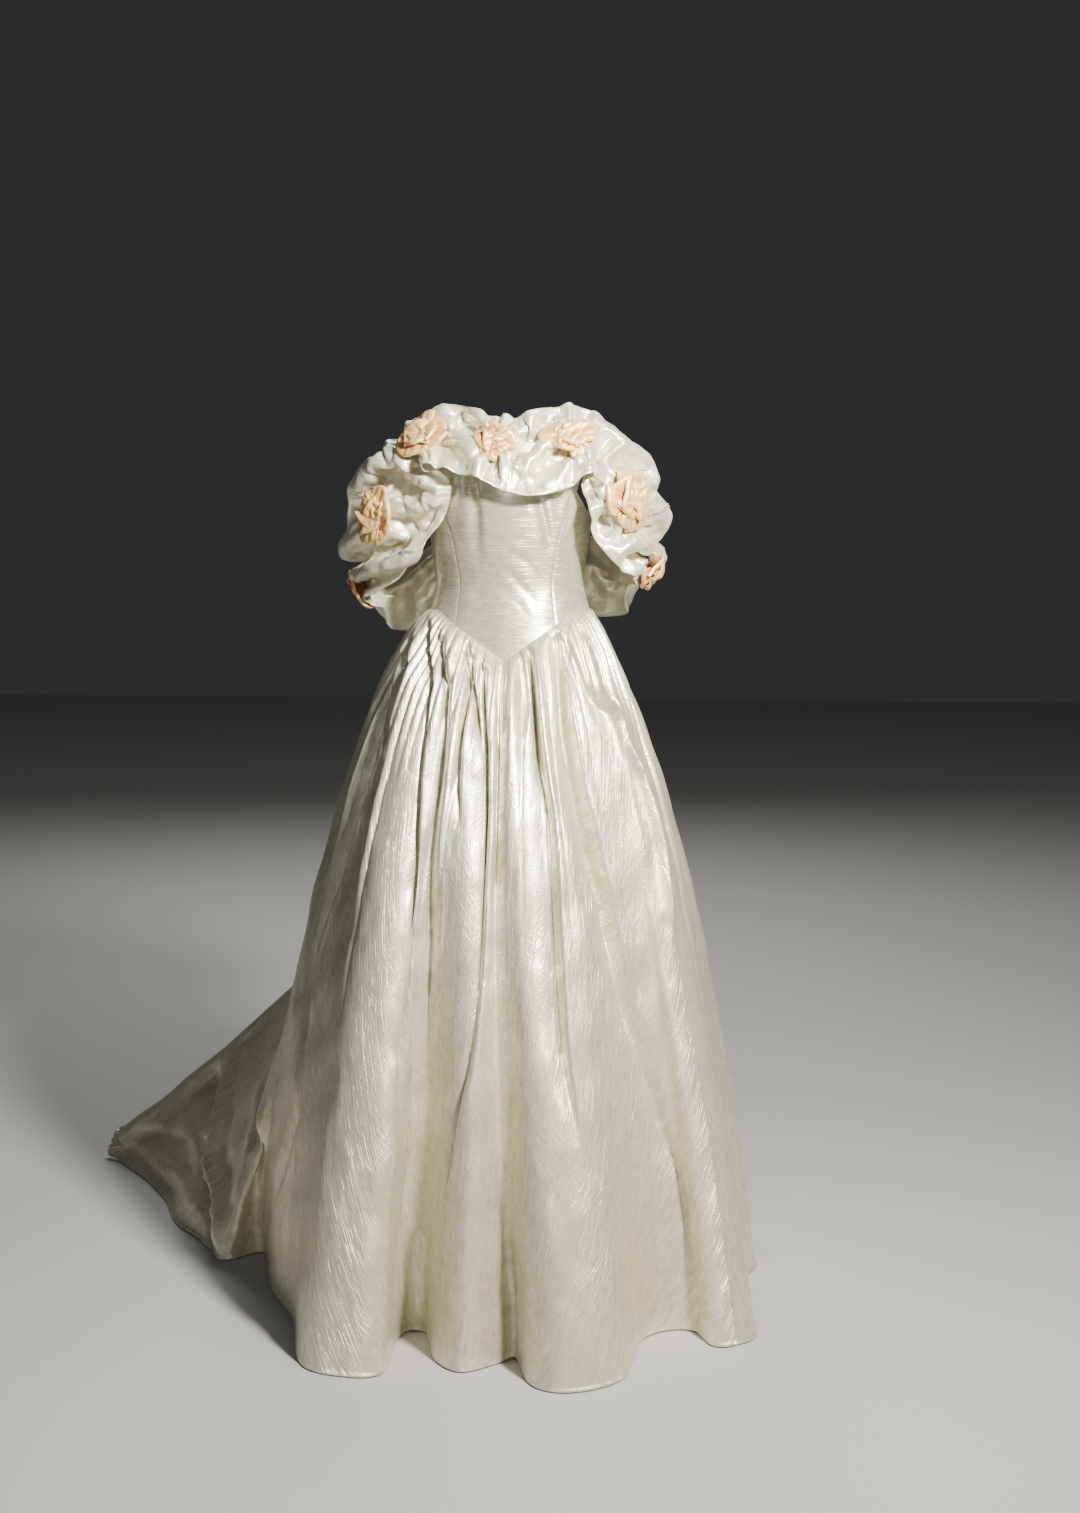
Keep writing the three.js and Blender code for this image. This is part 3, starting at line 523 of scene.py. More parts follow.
# Long folds seen from the front: points as degrees, share of the way down and share of the depth; then depth,
# width and lean. A fold that is listed from the hem up is steep on its other side.
LONG_FOLDS = (
    (((-56, 0.02, 1), (-38, 0.08, 0.8), (-36, 0.13, 0.7), (-32.6, 0.225, 0.8), (-29.6, 0.3, 0.9),
      (-26, 0.43, 1), (-25, 0.57, 0.8), (-24.2, 0.7, 0)), -13.3, 15.3, 0.45),
    (((-40, 0.025, 1), (-28.4, 0.07, 0.8), (-25, 0.124, 0.8), (-22, 0.225, 0.9), (-21.2, 0.294, 1),
      (-18.6, 0.43, 1), (-17.5, 0.62, 0)), -15.2, 15.3, -0.4),
    (((-24, 0.01, 1), (-19, 0.05, 1), (-17.6, 0.15, 1), (-16.2, 0.2, 0.8), (-13, 0.26, 0)),
      -11.4, 11.9, 0.4),
    (((-19, 0.02, 1), (-15, 0.06, 1), (-11, 0.1, 0.8), (-8, 0.14, 0)), -11.4, 10.2, 0.3),
    (((-0.8, 0.0, 1), (0.6, 0.14, 0.9), (0.8, 0.23, 0.9), (1.4, 0.41, 1), (1.7, 0.55, 0.6),
      (2.4, 0.7, 0)), -15.2, 13.6, -0.5),
    (((-10, 0.03, 0.8), (-5.4, 0.134, 0.9), (-3.6, 0.217, 1), (-3.4, 0.271, 1), (-3.2, 0.41, 0.7),
      (-5.3, 0.6, 0)), -17.1, 15.3, 0.3),
    (((14.9, 0.0, 1), (14.1, 0.056, 1), (15, 0.145, 1), (16, 0.18, 0.8), (17.6, 0.24, 0.9),
      (17.6, 0.29, 0.9), (17.1, 0.42, 1), (17.2, 0.55, 0.9), (19.7, 0.69, 0)), -17.1, 15.3, 0.45),
    (((34, 0.01, 0.9), (32.4, 0.043, 0.8), (29.4, 0.12, 0.8), (31, 0.19, 0.9), (33, 0.25, 1),
      (35.2, 0.307, 1), (38.2, 0.396, 0.8), (39.3, 0.48, 0.5), (43, 0.62, 0)), -24, 17, 0.3),
    (((41.6, 0.01, 0.8), (41, 0.03, 0.9), (44, 0.085, 1), (50, 0.126, 0.8), (61, 0.15, 0)),
      -6, 13.6, -0.4),
    (((53.8, 0.04, 0.6), (53, 0.1, 0.8), (60, 0.152, 0.9), (60.2, 0.186, 0.8), (65, 0.23, 0.9),
      (66, 0.28, 1), (66.5, 0.334, 1), (64.4, 0.4, 0.8), (61, 0.5, 0)), 9.5, 23.8, 0.3),
    (((-66, 0.045, 0.6), (-57.5, 0.096, 1), (-57.3, 0.15, 0.8), (-54.5, 0.19, 0)), -9.5, 13.6, 0.3),
    (((-74, 0.07, 0.4), (-68, 0.12, 0.8), (-61, 0.196, 1), (-61, 0.254, 1), (-62.5, 0.331, 1),
      (-66, 0.405, 1), (-69, 0.466, 1), (-70, 0.52, 0.8), (-68, 0.6, 0.5), (-66, 0.7, 0)), -20, 16, -0.4),
    (((9.7, 0.0, 1), (10.8, 0.07, 0.8), (9, 0.12, 0)), -9.5, 10.2, 0),
    (((38, 0.02, 0.8), (38.7, 0.04, 1), (38.6, 0.1, 0)), -9.5, 10.2, 0),
    (((-25, 0.985, 0.6), (-23.2, 0.874, 1), (-21.7, 0.826, 1), (-18.9, 0.712, 1), (-20.5, 0.562, 0.8),
      (-22.5, 0.446, 0)), -9, 16, 0),
    (((-4.4, 0.475, 0), (-5.9, 0.58, 0.8), (-8.5, 0.686, 1), (-10, 0.809, 1), (-11, 0.93, 1),
      (-11.5, 0.985, 0.6)), -9, 16, 0),
    (((1.1, 0.548, 0), (2, 0.761, 1), (3.6, 0.931, 1), (4, 0.985, 0.6)), -9, 14, 0),
    (((38.1, 0.38, 0), (44.5, 0.594, 0.8), (51, 0.764, 1), (53, 0.918, 1), (53, 0.985, 0.6)), -9, 17, 0),
    (((-66, 0.59, 0.2), (-66.9, 0.72, 1), (-71.3, 0.81, 1), (-90, 0.96, 0.5)), -13, 14, 0.4),
    (((-165, 0.79, 0.3), (-141.5, 0.87, 0.9), (-126.6, 0.906, 1), (-110, 0.945, 1), (-107, 1, 0.8)),
      26, 17, -0.6),
    (((-168, 0.82, 0.3), (-146, 0.885, 0.9), (-131, 0.92, 1), (-117, 0.955, 1), (-113, 1, 0.8)),
      -30, 17, 0.3),
    (((-147, 0.7, 0), (-123.3, 0.77, 0.8), (-104.5, 0.83, 1), (-99.6, 0.945, 1), (-96.5, 0.995, 0.8)),
      -22, 18, 0.4),
    (((-171, 0.958, 0), (-162.4, 0.941, 1), (-142.5, 0.915, 0)), -10, 9, 0.4),
    (((-167, 0.895, 0), (-145.5, 0.916, 1), (-129, 0.912, 0)), 11, 12, 0.4),
    (((-161, 0.975, 0), (-147.7, 0.971, 1), (-134.6, 0.961, 1), (-122.7, 0.966, 0)), 15, 14, 0.5),
    (((-169, 0.985, 0.3), (-157, 0.981, 1), (-137.5, 0.99, 0.8), (-128, 0.996, 0.3)), -13, 12, 0.3),
)
FOLD_START = 0.07  # share of the way down over which the long folds deepen
FOLD_MARGIN = 6  # degrees past a panel's edge at which a fold still reaches into it
TURNED_FOLDS = 60  # degrees; folds to the left of this rise steeply on their other side
TRAIN_FOLDS = 80  # degrees; folds that reach past this lie on the train and are soft
TRAIN_TIP_FOLD = np.array([-806, 612])  # X and Y of a point on the line where the train's tip is turned over
TRAIN_TIP_AIM = np.array([-0.88, 0.475])  # way in which the tip points
TRAIN_TIP_ROLL = 8  # radius of the turn
# Long folds at the sides and the back, which hang as those at the front do: degrees, end, depth, width, lean
HANGING_FOLDS = (
    (-172, 0.5, -15.2, 17, 0.3), (-161, 0.62, -17.1, 18.7, -0.4), (-150, 0.4, -11.4, 13.6, 0.3),
    (-141, 0.66, -17.1, 17, 0.4),
    (-130, 0.45, -13.3, 15.3, -0.3), (-119, 0.55, -15.2, 15.3, 0.4), (-107, 0.35, -11.4, 13.6, 0),
    (-97, 0.6, -17.1, 17, -0.4),
    (-86, 0.42, -13.3, 13.6, 0.3), (-76, 0.5, -11.4, 15.3, 0), (79, 0.45, -13.3, 15.3, 0.4),
    (88, 0.6, -17.1, 17, -0.3),
    (97, 0.38, -11.4, 13.6, 0.3), (106, 0.62, -17.1, 18.7, 0.4), (117, 0.42, -13.3, 15.3, -0.4),
    (126, 0.58, -15.2, 17, 0.3),
    (136, 0.4, -11.4, 13.6, 0), (145, 0.64, -17.1, 18.7, 0.4), (154, 0.5, -13.3, 15.3, -0.3),
    (162, 0.36, -11.4, 13.6, 0.3),
    (170, 0.6, -17.1, 17, -0.4), (178, 0.45, -13.3, 15.3, 0.3),
)


def points_along(line, count):
    """More points along a line of a few, with its other columns carried along."""
    rows = np.array(line, float)
    place = np.linspace(0, len(rows) - 1, count)
    return np.stack([np.interp(place, np.arange(len(rows)), column) for column in rows.T], -1)


def full_turn(rows):
    """Rows of a full turn, with three more at each end, so that a curve through them closes on itself."""
    before = rows[-3:].copy()
    after = rows[:3].copy()
    before[:, 0] -= 360
    after[:, 0] += 360
    return np.vstack([before, rows, after])


BELL_TURN = full_turn(SKIRT_BELL)
FOLD_TURN = full_turn(SKIRT_FOLDS)


def skirt_point(deg, down):
    """Point of the skirt before its gathers, at an angle along the waist seam and a share of the way down."""
    deg = np.asarray(deg, float) + 0 * np.asarray(down, float)
    down = np.asarray(down, float) + 0 * deg
    wrapped = (deg + 180) % 360 - 180
    waist = body_point(wrapped, waist_seam(wrapped) - WAIST_GAP, BODICE_WALL)
    outward = np.stack([np.sin(np.radians(deg)), -np.cos(np.radians(deg))], -1)
    floor_place = outward * smooth(BELL_TURN, 1, deg)[..., None]
    spread = (0.7 * down ** 0.6 + 0.3 * (1 - (1 - down) ** 2))[..., None]
    fold = (down ** smooth(FOLD_TURN, 3, deg))[..., None]
    hem = np.stack([smooth(FOLD_TURN, 1, deg), smooth(FOLD_TURN, 2, deg)], -1)
    level = waist[..., :2] * (1 - spread) + floor_place * spread + fold * (hem - floor_place)
    height = waist[..., 2] * (1 - down) + FLOOR_DROP * down
    return np.concatenate([level, height[..., None]], -1)


def uneven_gathers():
    """Gathers round the whole waist: where each starts, how deep it is and how far down it runs."""
    draw = np.random.RandomState(11)
    widths = draw.uniform(0.6, 1.5, GATHER_COUNT)
    starts = np.concatenate([[0], np.cumsum(widths)]) * 360 / widths.sum() - 180
    ends = draw.uniform(*GATHER_RUN, GATHER_COUNT) * draw.choice([1, 1, 1, LONG_GATHER], GATHER_COUNT)
    return starts, draw.uniform(*GATHER_DEPTH, GATHER_COUNT), ends


GATHER_STARTS, GATHER_DEPTHS, GATHER_ENDS = uneven_gathers()


def gather_height(deg, down):
    wrapped = (deg + 180) % 360 - 180
    i = np.clip(np.searchsorted(GATHER_STARTS, wrapped, side="right") - 1, 0, GATHER_COUNT - 1)
    share = (wrapped - GATHER_STARTS[i]) / (GATHER_STARTS[i + 1] - GATHER_STARTS[i])
    ridge = np.sin(np.pi * np.clip(share, 0, 1)) ** 0.6 - 0.45
    grow = 0.4 + 0.6 * ease_between(down, 0, 0.08)
    fade = 1 - ease_between(down, 0.25 * GATHER_ENDS[i], GATHER_ENDS[i])
    return ridge * GATHER_DEPTHS[i] * grow * fade


def crumples(seed, from_deg, to_deg, count):
    """Short slanting creases that a stiff silk keeps from being handled: lines, depth, width."""
    draw = np.random.RandomState(seed)
    found = []
    for _ in range(count):
        deg = draw.uniform(from_deg, to_deg)
        down = draw.uniform(0.12, 0.96)
        slant = draw.choice([-1, 1]) * draw.uniform(0.5, 1.4)
        reach = draw.uniform(0.012, 0.045)
        sway = draw.uniform(-0.01, 0.01)
        per_degree = 0.0055 + 0.006 * down
        t = np.linspace(-1, 1, 5)
        line = np.stack([deg + t * reach * slant / per_degree * 0.5,
                         np.clip(down + t * reach + sway * (1 - t * t), 0.05, 0.985), 1 - t * t], -1)
        found.append((line, draw.choice([-1, 1]) * draw.uniform(0.9, 2.7), draw.uniform(11, 18)))
    return found


skirt_silk = silk_finish("skirt_silk", IVORY_LIGHT, IVORY_DEEP, bump_distance=0.0009, crush=1.0,
                         stretch=0.2, roughest=0.44, metal=0.62)


def turn_tip_over(points):
    """Rolls the corner of the train up and back over itself."""
    past = (points[..., :2] - TRAIN_TIP_FOLD) @ TRAIN_TIP_AIM
    angle = np.clip(past / TRAIN_TIP_ROLL, 0, np.pi)
    flat = np.maximum(past - np.pi * TRAIN_TIP_ROLL, 0)
    move = np.where(past > 0, TRAIN_TIP_ROLL * np.sin(angle) - flat - past, 0)
    points[..., :2] += move[..., None] * TRAIN_TIP_AIM
    points[..., 2] += TRAIN_TIP_ROLL * (1 - np.cos(angle)) + 0.25 * flat


def column_places(from_deg, to_deg):
    """Angles of a panel's columns, about evenly spaced along the cloth two thirds of the way down."""
    fine = np.linspace(from_deg, to_deg, 2001)
    there = skirt_point(fine, 0.72)
    length = np.concatenate([[0], np.cumsum(np.linalg.norm(np.diff(there, axis=0), axis=1))])
    even = length / length[-1] * 0.8 + (fine - from_deg) / (to_deg - from_deg) * 0.2
    count = max(60, int(length[-1] / SKIRT_STEP))
    return np.interp(np.linspace(0, 1, count), even, fine)


def press_fold(offset, points, normals, line, depths, width, lean):
    """A long fold: the cloth sinks slowly towards it on one side and rises steeply out of it on the other."""
    press_crease(offset, points, normals, line, 2.0 * depths, 0.5 * width, 0.3 * lean, sharp=1.3, gentle=4.5)
    press_crease(offset, points, normals, line, 0.9 * depths, 0.33 * width, sharp=1.0)


def skirt_panel(name, from_deg, to_deg, rows, seed, crumple_count):
    degs = column_places(from_deg, to_deg)
    t = np.linspace(0, 1, rows)
    hem_rows = 1 - np.array([0.0055, 0.0035, 0.0018, 0])
    downs = np.concatenate([(0.4 * t ** 2 + 0.6 * t) * (1 - 0.008), hem_rows])
    deg, down = np.meshgrid(degs, downs)
    points = skirt_point(deg, down)
    normals = facing_of(points)
    offset = np.zeros_like(points)
    for line, depth, width, lean in LONG_FOLDS:
        line_degs = [point[0] for point in line]
        if max(line_degs) > from_deg - FOLD_MARGIN and min(line_degs) < to_deg + FOLD_MARGIN:
            line = points_along(line, 40)
            if line[:, 0].mean() > TURNED_FOLDS:
                line = line[::-1]
            path = skirt_point(line[:, 0], line[:, 1])
            press = press_fold if np.abs(line[:, 0]).max() < TRAIN_FOLDS else press_crease
            near_waist = 0.3 + 0.7 * ease_between(line[:, 1], 0, FOLD_START)
            press(offset, points, normals, path, depth * line[:, 2] * near_waist, width, lean)
    for fold_deg, end, depth, width, lean in HANGING_FOLDS:
        if from_deg - FOLD_MARGIN < fold_deg < to_deg + FOLD_MARGIN:
            s = np.linspace(1, 0, 30) if fold_deg > TURNED_FOLDS else np.linspace(0, 1, 30)
            path = skirt_point(fold_deg + 1.5 * np.sin(4 * s + fold_deg), 0.01 + s * end)
            near_waist = 0.3 + 0.7 * ease_between(s * end, 0, FOLD_START)
            press_fold(offset, points, normals, path, depth * (1 - s ** 2) * near_waist, width, lean)
    for line, depth, width in crumples(seed, from_deg, to_deg, crumple_count):
        path = skirt_point(line[:, 0], line[:, 1])
        press_crease(offset, points, normals, path, depth * line[:, 2], width, sharp=1.4)
    calm = ease_between(down, 0.05, 0.3)
    x = points[..., 0]
    z = points[..., 2]
    sway = np.sin(x * 0.041 + z * 0.023) + np.sin(z * 0.052 - deg * 0.21)
    offset += normals * (gather_height(deg, down) + calm * SWAY * sway)[..., None]
    offset *= (ease_between(down, -0.002, 0.014) * (1 - 0.7 * ease_between(down, 0.97, 0.995)))[..., None]
    from_hem = (1 - down) * -FLOOR_DROP
    offset += normals * (HEM_ROLL * np.exp(-((from_hem - HEM_RISE) / HEM_HALF) ** 2))[..., None]
    points = points + offset
    points[-1, :, 2] = FLOOR_DROP + 0.4
    turn_tip_over(points)
    tuck = points[:1] - normals[:1] * TUCK_DEPTH + WAIST_TUCK
    points = np.concatenate([tuck, points])
    for edge, inner in ((0, 1), (-1, -2)):
        inwards = points[:, inner] - points[:, edge]
        points[:, edge] += inwards * (SEAM_SHARE / np.linalg.norm(inwards, axis=1))[:, None]
    unfolded = skirt_point(deg, down)
    unfolded = np.concatenate([unfolded[:1] + WAIST_TUCK, unfolded])
    across = lengths_along(unfolded, 1)
    across = across - across[:, -1:] / 2
    place = np.stack([lengths_along(unfolded, 0), across], -1)
    piece = cloth_piece(name + "_silk", points, place, skirt_silk)
    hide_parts(name)
    return piece


FRONT_SEAM = 64.2857  # degrees along the waist seam
BACK_SEAM = 122.1429
# Name, edges, rows, seed and number of crumples
skirt_panel("skirt_front", -FRONT_SEAM, FRONT_SEAM, 172, 3, 260)
skirt_panel("skirt_side_right", -BACK_SEAM, -FRONT_SEAM, 124, 4, 110)
skirt_panel("skirt_side_left", FRONT_SEAM, BACK_SEAM, 140, 5, 110)
skirt_panel("skirt_back_right", -180, -BACK_SEAM, 136, 6, 110)
skirt_panel("skirt_back_left", BACK_SEAM, 180, 142, 7, 190)


# Ruffle and sleeves
# One wide band of the silk, gathered along its middle and set round the neckline, over both arms and across
# the low back. Its upper half stands up and its lower half falls, and each rose draws it into folds.

RUFFLE_STATIONS = np.array([  # station, gathered line, upper edge, lower edge (each X, Y, Z), half wave depth
    (-15, 0, 90.4, 73, 0, 112, 136, 0, 122, 2, 9),
    (-14, -42.6, 84.9, 69, -36, 114, 133, -40, 118, -4, 9),
    (-13, -79.2, 71.2, 65, -70, 116, 126, -80, 114, -12, 9),
    (-12, -134, 100, 42, -122, 148, 104, -120, 130, -30, 9),
    (-11, -187, 94, 23, -182, 150, 79, -176, 108, -45, 9),
    (-10, -223, 66, 27, -218, 134, 63, -212, 62, -17, 9),
    (-9, -238, 24, 44, -245, 100, 59, -216, 4, 23, 6),
    (-8, -235, -10, 65, -254, 58, 72, -173, -46, 55, 3),
    (-7, -220, -42, 100, -275, 30, 111, -132, -76, 88, 2),
    (-6, -197, -66, 156, -250, 2, 162, -115, -90, 135, 2),
    (-5, -175, -76, 202, -238, -16, 214, -82, -98, 182, 2),
    (-4, -150, -80, 240, -196, -34, 251, -98, -104, 205, 2),
    (-3, -122, -80, 266, -132, -52, 297, -114, -118, 230, 2),
    (-2, -90, -91, 265, -88, -66, 320, -86, -132, 221, 2),
    (-1, -48, -107, 262, -49, -86, 310, -41, -148, 215, 2),
    (0, 0, -114, 262, 1, -97, 300, 2, -152, 189, 2),
    (1, 48, -107, 262, 50, -86, 310, 51, -150, 176, 2),
    (2, 90, -91, 265, 88, -64, 318, 90, -130, 191, 2),
    (3, 122, -80, 266, 140, -44, 302, 123, -119, 220, 2),
    (4, 150, -80, 240, 183, -26, 270, 124, -98, 199, 2),
    (5, 173, -76, 204, 220, -10, 223, 127, -95, 163, 2),
    (6, 185, -66, 170, 237, 8, 173, 136, -88, 117, 2),
    (7, 196, -42, 124, 238, 30, 122, 167, -74, 85, 3),
    (8, 209, -10, 91, 236, 61, 86, 195, -40, 62, 4),
    (9, 212, 24, 70, 217, 100, 85, 192, 4, 49, 6),
    (10, 197, 66, 53, 194, 134, 89, 188, 62, 9, 9),
    (11, 165, 94, 49, 162, 150, 105, 156, 108, -19, 9),
    (12, 126, 100, 54, 114, 148, 116, 112, 130, -18, 9),
    (13, 79.2, 71.2, 65, 70, 116, 126, 80, 114, -12, 9),
    (14, 42.6, 84.9, 69, 36, 114, 133, 40, 118, -4, 9),
    (15, 0, 90.4, 73, 0, 112, 136, 0, 122, 2, 9)], float)
SHOULDER = 3
OUTER_ARM = 8
CENTRE_BACK = 15
RUFFLE_WAVES = 17
RUFFLE_OFFSET = 1.2
RUFFLE_BILLOW = 9
RUFFLE_STEP = 2.0

# Roses: station on the ruffle, size, turn in degrees, and how far the base stands off the gathered line
ROSES = {
    "rose_elbow_right": (-9.5, 0.95, 40, 1.7),
    "rose_sleeve_right": (-6.1, 1.05, 15, 0.3),
    "rose_shoulder_right": (-3.05, 1.02, 65, 2.1),
    "rose_chest_centre": (-0.22, 0.85, 10, 1.6),
    "rose_chest_left": (2.3, 0.95, 50, 1.3),
    "rose_sleeve_left": (5.9, 1.1, 25, 0.3),
    "rose_elbow_left": (9, 1, 5, 5.6),
}


def whole_loop():
    """Stations of the closed loop, two past the centre back at each end, with lengths along its middle."""
    turn = np.array([2.0 * CENTRE_BACK] + [0] * 10)
    rows = np.vstack([RUFFLE_STATIONS[-3:-1] - turn, RUFFLE_STATIONS, RUFFLE_STATIONS[1:3] + turn])
    steps = np.linalg.norm(np.diff(rows[:, 1:4], axis=0), axis=1)
    return np.column_stack([rows, np.concatenate([[0], np.cumsum(steps)])])


RUFFLE_LOOP = whole_loop()
WAVE_COLUMN = 10
LENGTH_COLUMN = 11


def length_at(station):
    return smooth(RUFFLE_LOOP, LENGTH_COLUMN, station)


RUFFLE_LENGTH = length_at(np.array(CENTRE_BACK)) - length_at(np.array(-CENTRE_BACK))


def ruffle_base(station, across):
    """Point of the unwaved ruffle, from -1 across at its lower edge to 1 at its upper edge."""
    place = []
    for axis in range(3):
        middle = smooth(RUFFLE_LOOP, 1 + axis, station)
        upper = smooth(RUFFLE_LOOP, 4 + axis, station)
        lower = smooth(RUFFLE_LOOP, 7 + axis, station)
        place.append(middle + (np.where(across < 0, lower, upper) - middle) * np.abs(across))
    return np.stack(place, -1)


def ruffle_facing(station, across):
    along = ruffle_base(station + 0.1, across) - ruffle_base(station - 0.1, across)
    up = ruffle_base(station, across + 0.3) - ruffle_base(station, across - 0.3)
    normal = np.cross(along, up)
    return normal / np.linalg.norm(normal, axis=-1, keepdims=True)


def run_of_ruffle(station):
    """Way along the gathered line at a station."""
    middle = np.array(0.0)
    return ruffle_base(np.array(station + 0.2), middle) - ruffle_base(np.array(station - 0.2), middle)


def ruffle_point(station, across):
    """Point of the waved ruffle. Its waves are lower where the free edge is bunched up short."""
    station = np.asarray(station, float) + 0 * np.asarray(across, float)
    across = np.asarray(across, float) + 0 * station
    share = np.abs(across)
    angle = 2 * np.pi * RUFFLE_WAVES * (length_at(station) - length_at(np.array(0.0))) / RUFFLE_LENGTH
    wave = np.where(across < 0, np.cos(angle + RUFFLE_OFFSET), -np.cos(angle)) * share ** 2
    wave = wave * smooth(RUFFLE_LOOP, WAVE_COLUMN, station)
    edge = np.sign(across)
    edge_length = np.linalg.norm(ruffle_base(station + 0.5, edge) - ruffle_base(station - 0.5, edge), axis=-1)
    fullness = np.minimum(1, edge_length / (length_at(station + 0.5) - length_at(station - 0.5))) ** 2
    billow = RUFFLE_BILLOW * np.sin(np.pi * share) * share
    out = wave * fullness + billow
    return ruffle_base(station, across) + ruffle_facing(station, across) * out[..., None]


# Paler than the ivory of the bodice and skirt, though the ruffle is the same silk: painted light, since the
# ruffle faces the lamp
RUFFLE_LIT_PALE = (0.88, 0.845, 0.67, 1)
RUFFLE_LIT_DEEP = (0.76, 0.725, 0.55, 1)
ruffle_lit_silk = silk_finish("ruffle_lit_silk", RUFFLE_LIT_PALE, RUFFLE_LIT_DEEP, bump_distance=0.0006, crush=0.3,
                          stretch=0.3, roughest=0.43, metal=0.55)


# Folds of the ruffle seen from the front: points as station and place across; then depth, width and lean
RUFFLE_FOLDS = (
    (((-1.78, 0.61), (-1.52, 0.45), (-1.06, 0.43), (-0.74, 0.22)), -9, 9, 0.4),
    (((-2.1, 0.66), (-1.68, 0.79), (-1.16, 0.91)), -6, 8, 0.3),
    (((-2.06, -0.05), (-1.38, -0.15), (-0.82, -0.31), (-0.42, -0.52)), 9, 10, 0.5),
    (((-0.36, -0.3), (-0.24, -0.77), (-0.08, -1)), -8, 8, 0.3),
    (((-0.1, -0.3), (0, -0.68), (0.08, -0.96)), 8, 7, 0.2),
    (((0.16, -0.25), (0.26, -0.63), (0.32, -0.84)), -9, 8, -0.3),
    (((0.38, -0.93), (0.84, -0.7), (1.42, -0.48), (2.14, -0.33)), -9, 10, 0.5),
    (((0.3, -0.7), (0.4, -0.5), (0.58, -0.33), (1.16, -0.23)), 8, 9, 0.3),
    (((0.5, 0.9), (0.56, 0.26), (0.64, -0.2)), -12, 9, 0.6),
    (((1.72, 0.98), (1.66, 0.64), (1.64, 0.3)), -9, 8, 0.5),
    (((1.36, 0.56), (1.16, 0.36), (1.04, 0.02)), -7, 7, 0.3),
    (((2.9, 0.8), (2.58, 0.45), (2.4, 0.2)), -6, 8, 0.3),
    (((2.8, -0.82), (3.58, -0.83), (4.48, -0.45), (4.94, -0.39)), 7, 11, 0),
    (((3, -0.6), (4.22, -0.7), (5.16, -0.8), (5.72, -0.9)), -9, 10, 0.4),
    (((5.04, -0.66), (5.58, -0.66), (6.06, -0.61), (6.5, -0.39)), -13, 10, 0.5),
    (((6.6, -0.3), (7.08, -0.42), (7.84, -0.78)), -9, 8, 0.5),
    (((4.7, 0.3), (5.02, 0.6), (5.18, 0.95)), -10, 9, 0.4),
    (((5.9, 0.35), (5.88, 0.8), (5.86, 1)), -9, 9, -0.3),
    (((6.4, 0.35), (6.28, 0.8), (6.36, 1)), 8, 9, 0.3),
    (((5.1, 0.5), (5.36, 0.72), (5.7, 0.75)), 8, 10, 0),
    (((-4.02, 0.31), (-4.74, 0), (-5.38, -0.18), (-5.68, -0.41)), -15, 12, 0.5),
    (((-4.4, -0.44), (-5.06, -0.46), (-5.52, -0.63)), -9, 8, 0.4),
    (((-5.04, -0.83), (-5.32, -0.7), (-5.6, -0.5)), 10, 9, 0.4),
    (((-5.26, -0.83), (-5.7, -0.8), (-6.16, -0.76), (-6.28, -0.55)), -11, 9, 0.4),
    (((-6.24, -1), (-6.58, -0.87), (-6.86, -0.69), (-7.44, -0.4)), 11, 9, 0.4),
    (((-5.82, -0.3), (-6.14, -0.58), (-6.22, -0.72)), -12, 9, 0.3),
    (((-7.2, 0.04), (-7, -0.2), (-6.72, -0.42), (-6.36, -0.54)), -10, 10, 0.4),
    (((-4.72, 0.75), (-5.08, 0.45), (-5.5, 0.25)), -13, 10, 0.4),
    (((-5.6, 0.8), (-5.66, 0.36), (-5.72, 0.12)), -12, 9, -0.4),
    (((-6.34, 0.72), (-6.1, 0.52), (-5.72, 0.46)), 9, 9, 0.3),
    (((-6.9, 0.85), (-6.62, 0.59), (-6.3, 0.4)), -11, 9, 0.3),
    (((-4, 0.9), (-4.36, 0.37), (-4.76, 0.07)), -11, 10, 0.4),
    (((-3.66, 0.76), (-3.8, 0.28), (-3.94, -0.12)), -9, 9, -0.3),
)
RUFFLE_SEAMS = (-CENTRE_BACK, -OUTER_ARM, -SHOULDER, SHOULDER, OUTER_ARM, CENTRE_BACK)
RUFFLE_ROWS = 10
RUFFLE_FULLNESS = 1.04
FOLD_POINTS = 12
KEPT_DRIFT = 0.85  # share of its last move that a point of settling cloth keeps
PULL_SHARE = 0.22  # share of a wrong length that each round takes up at either end
SLIDE_LIMIT = 9
EDGE_ROLL = 1.3  # the rolled hem of the ruffle, as that of the skirt
EDGE_RISE = 3
EDGE_HALF = 2.2
PLEAT_LIFT = 11  # height of the pleats that run out from a rose
PLEAT_COUNT = 4.5  # how many of them there are to a half turn
PLEAT_RUN = 60
FINER = 8  # fine steps for each step of the first settling


def neighbours(grid, down, along):
    """Two views of a grid: each point, and the one that many rows down and columns along from it."""
    rows, columns = grid.shape[:2]
    if along < 0:
        return grid[:rows - down, -along:], grid[down:, :columns + along]
    return grid[:rows - down, :columns - along], grid[down:, along:]


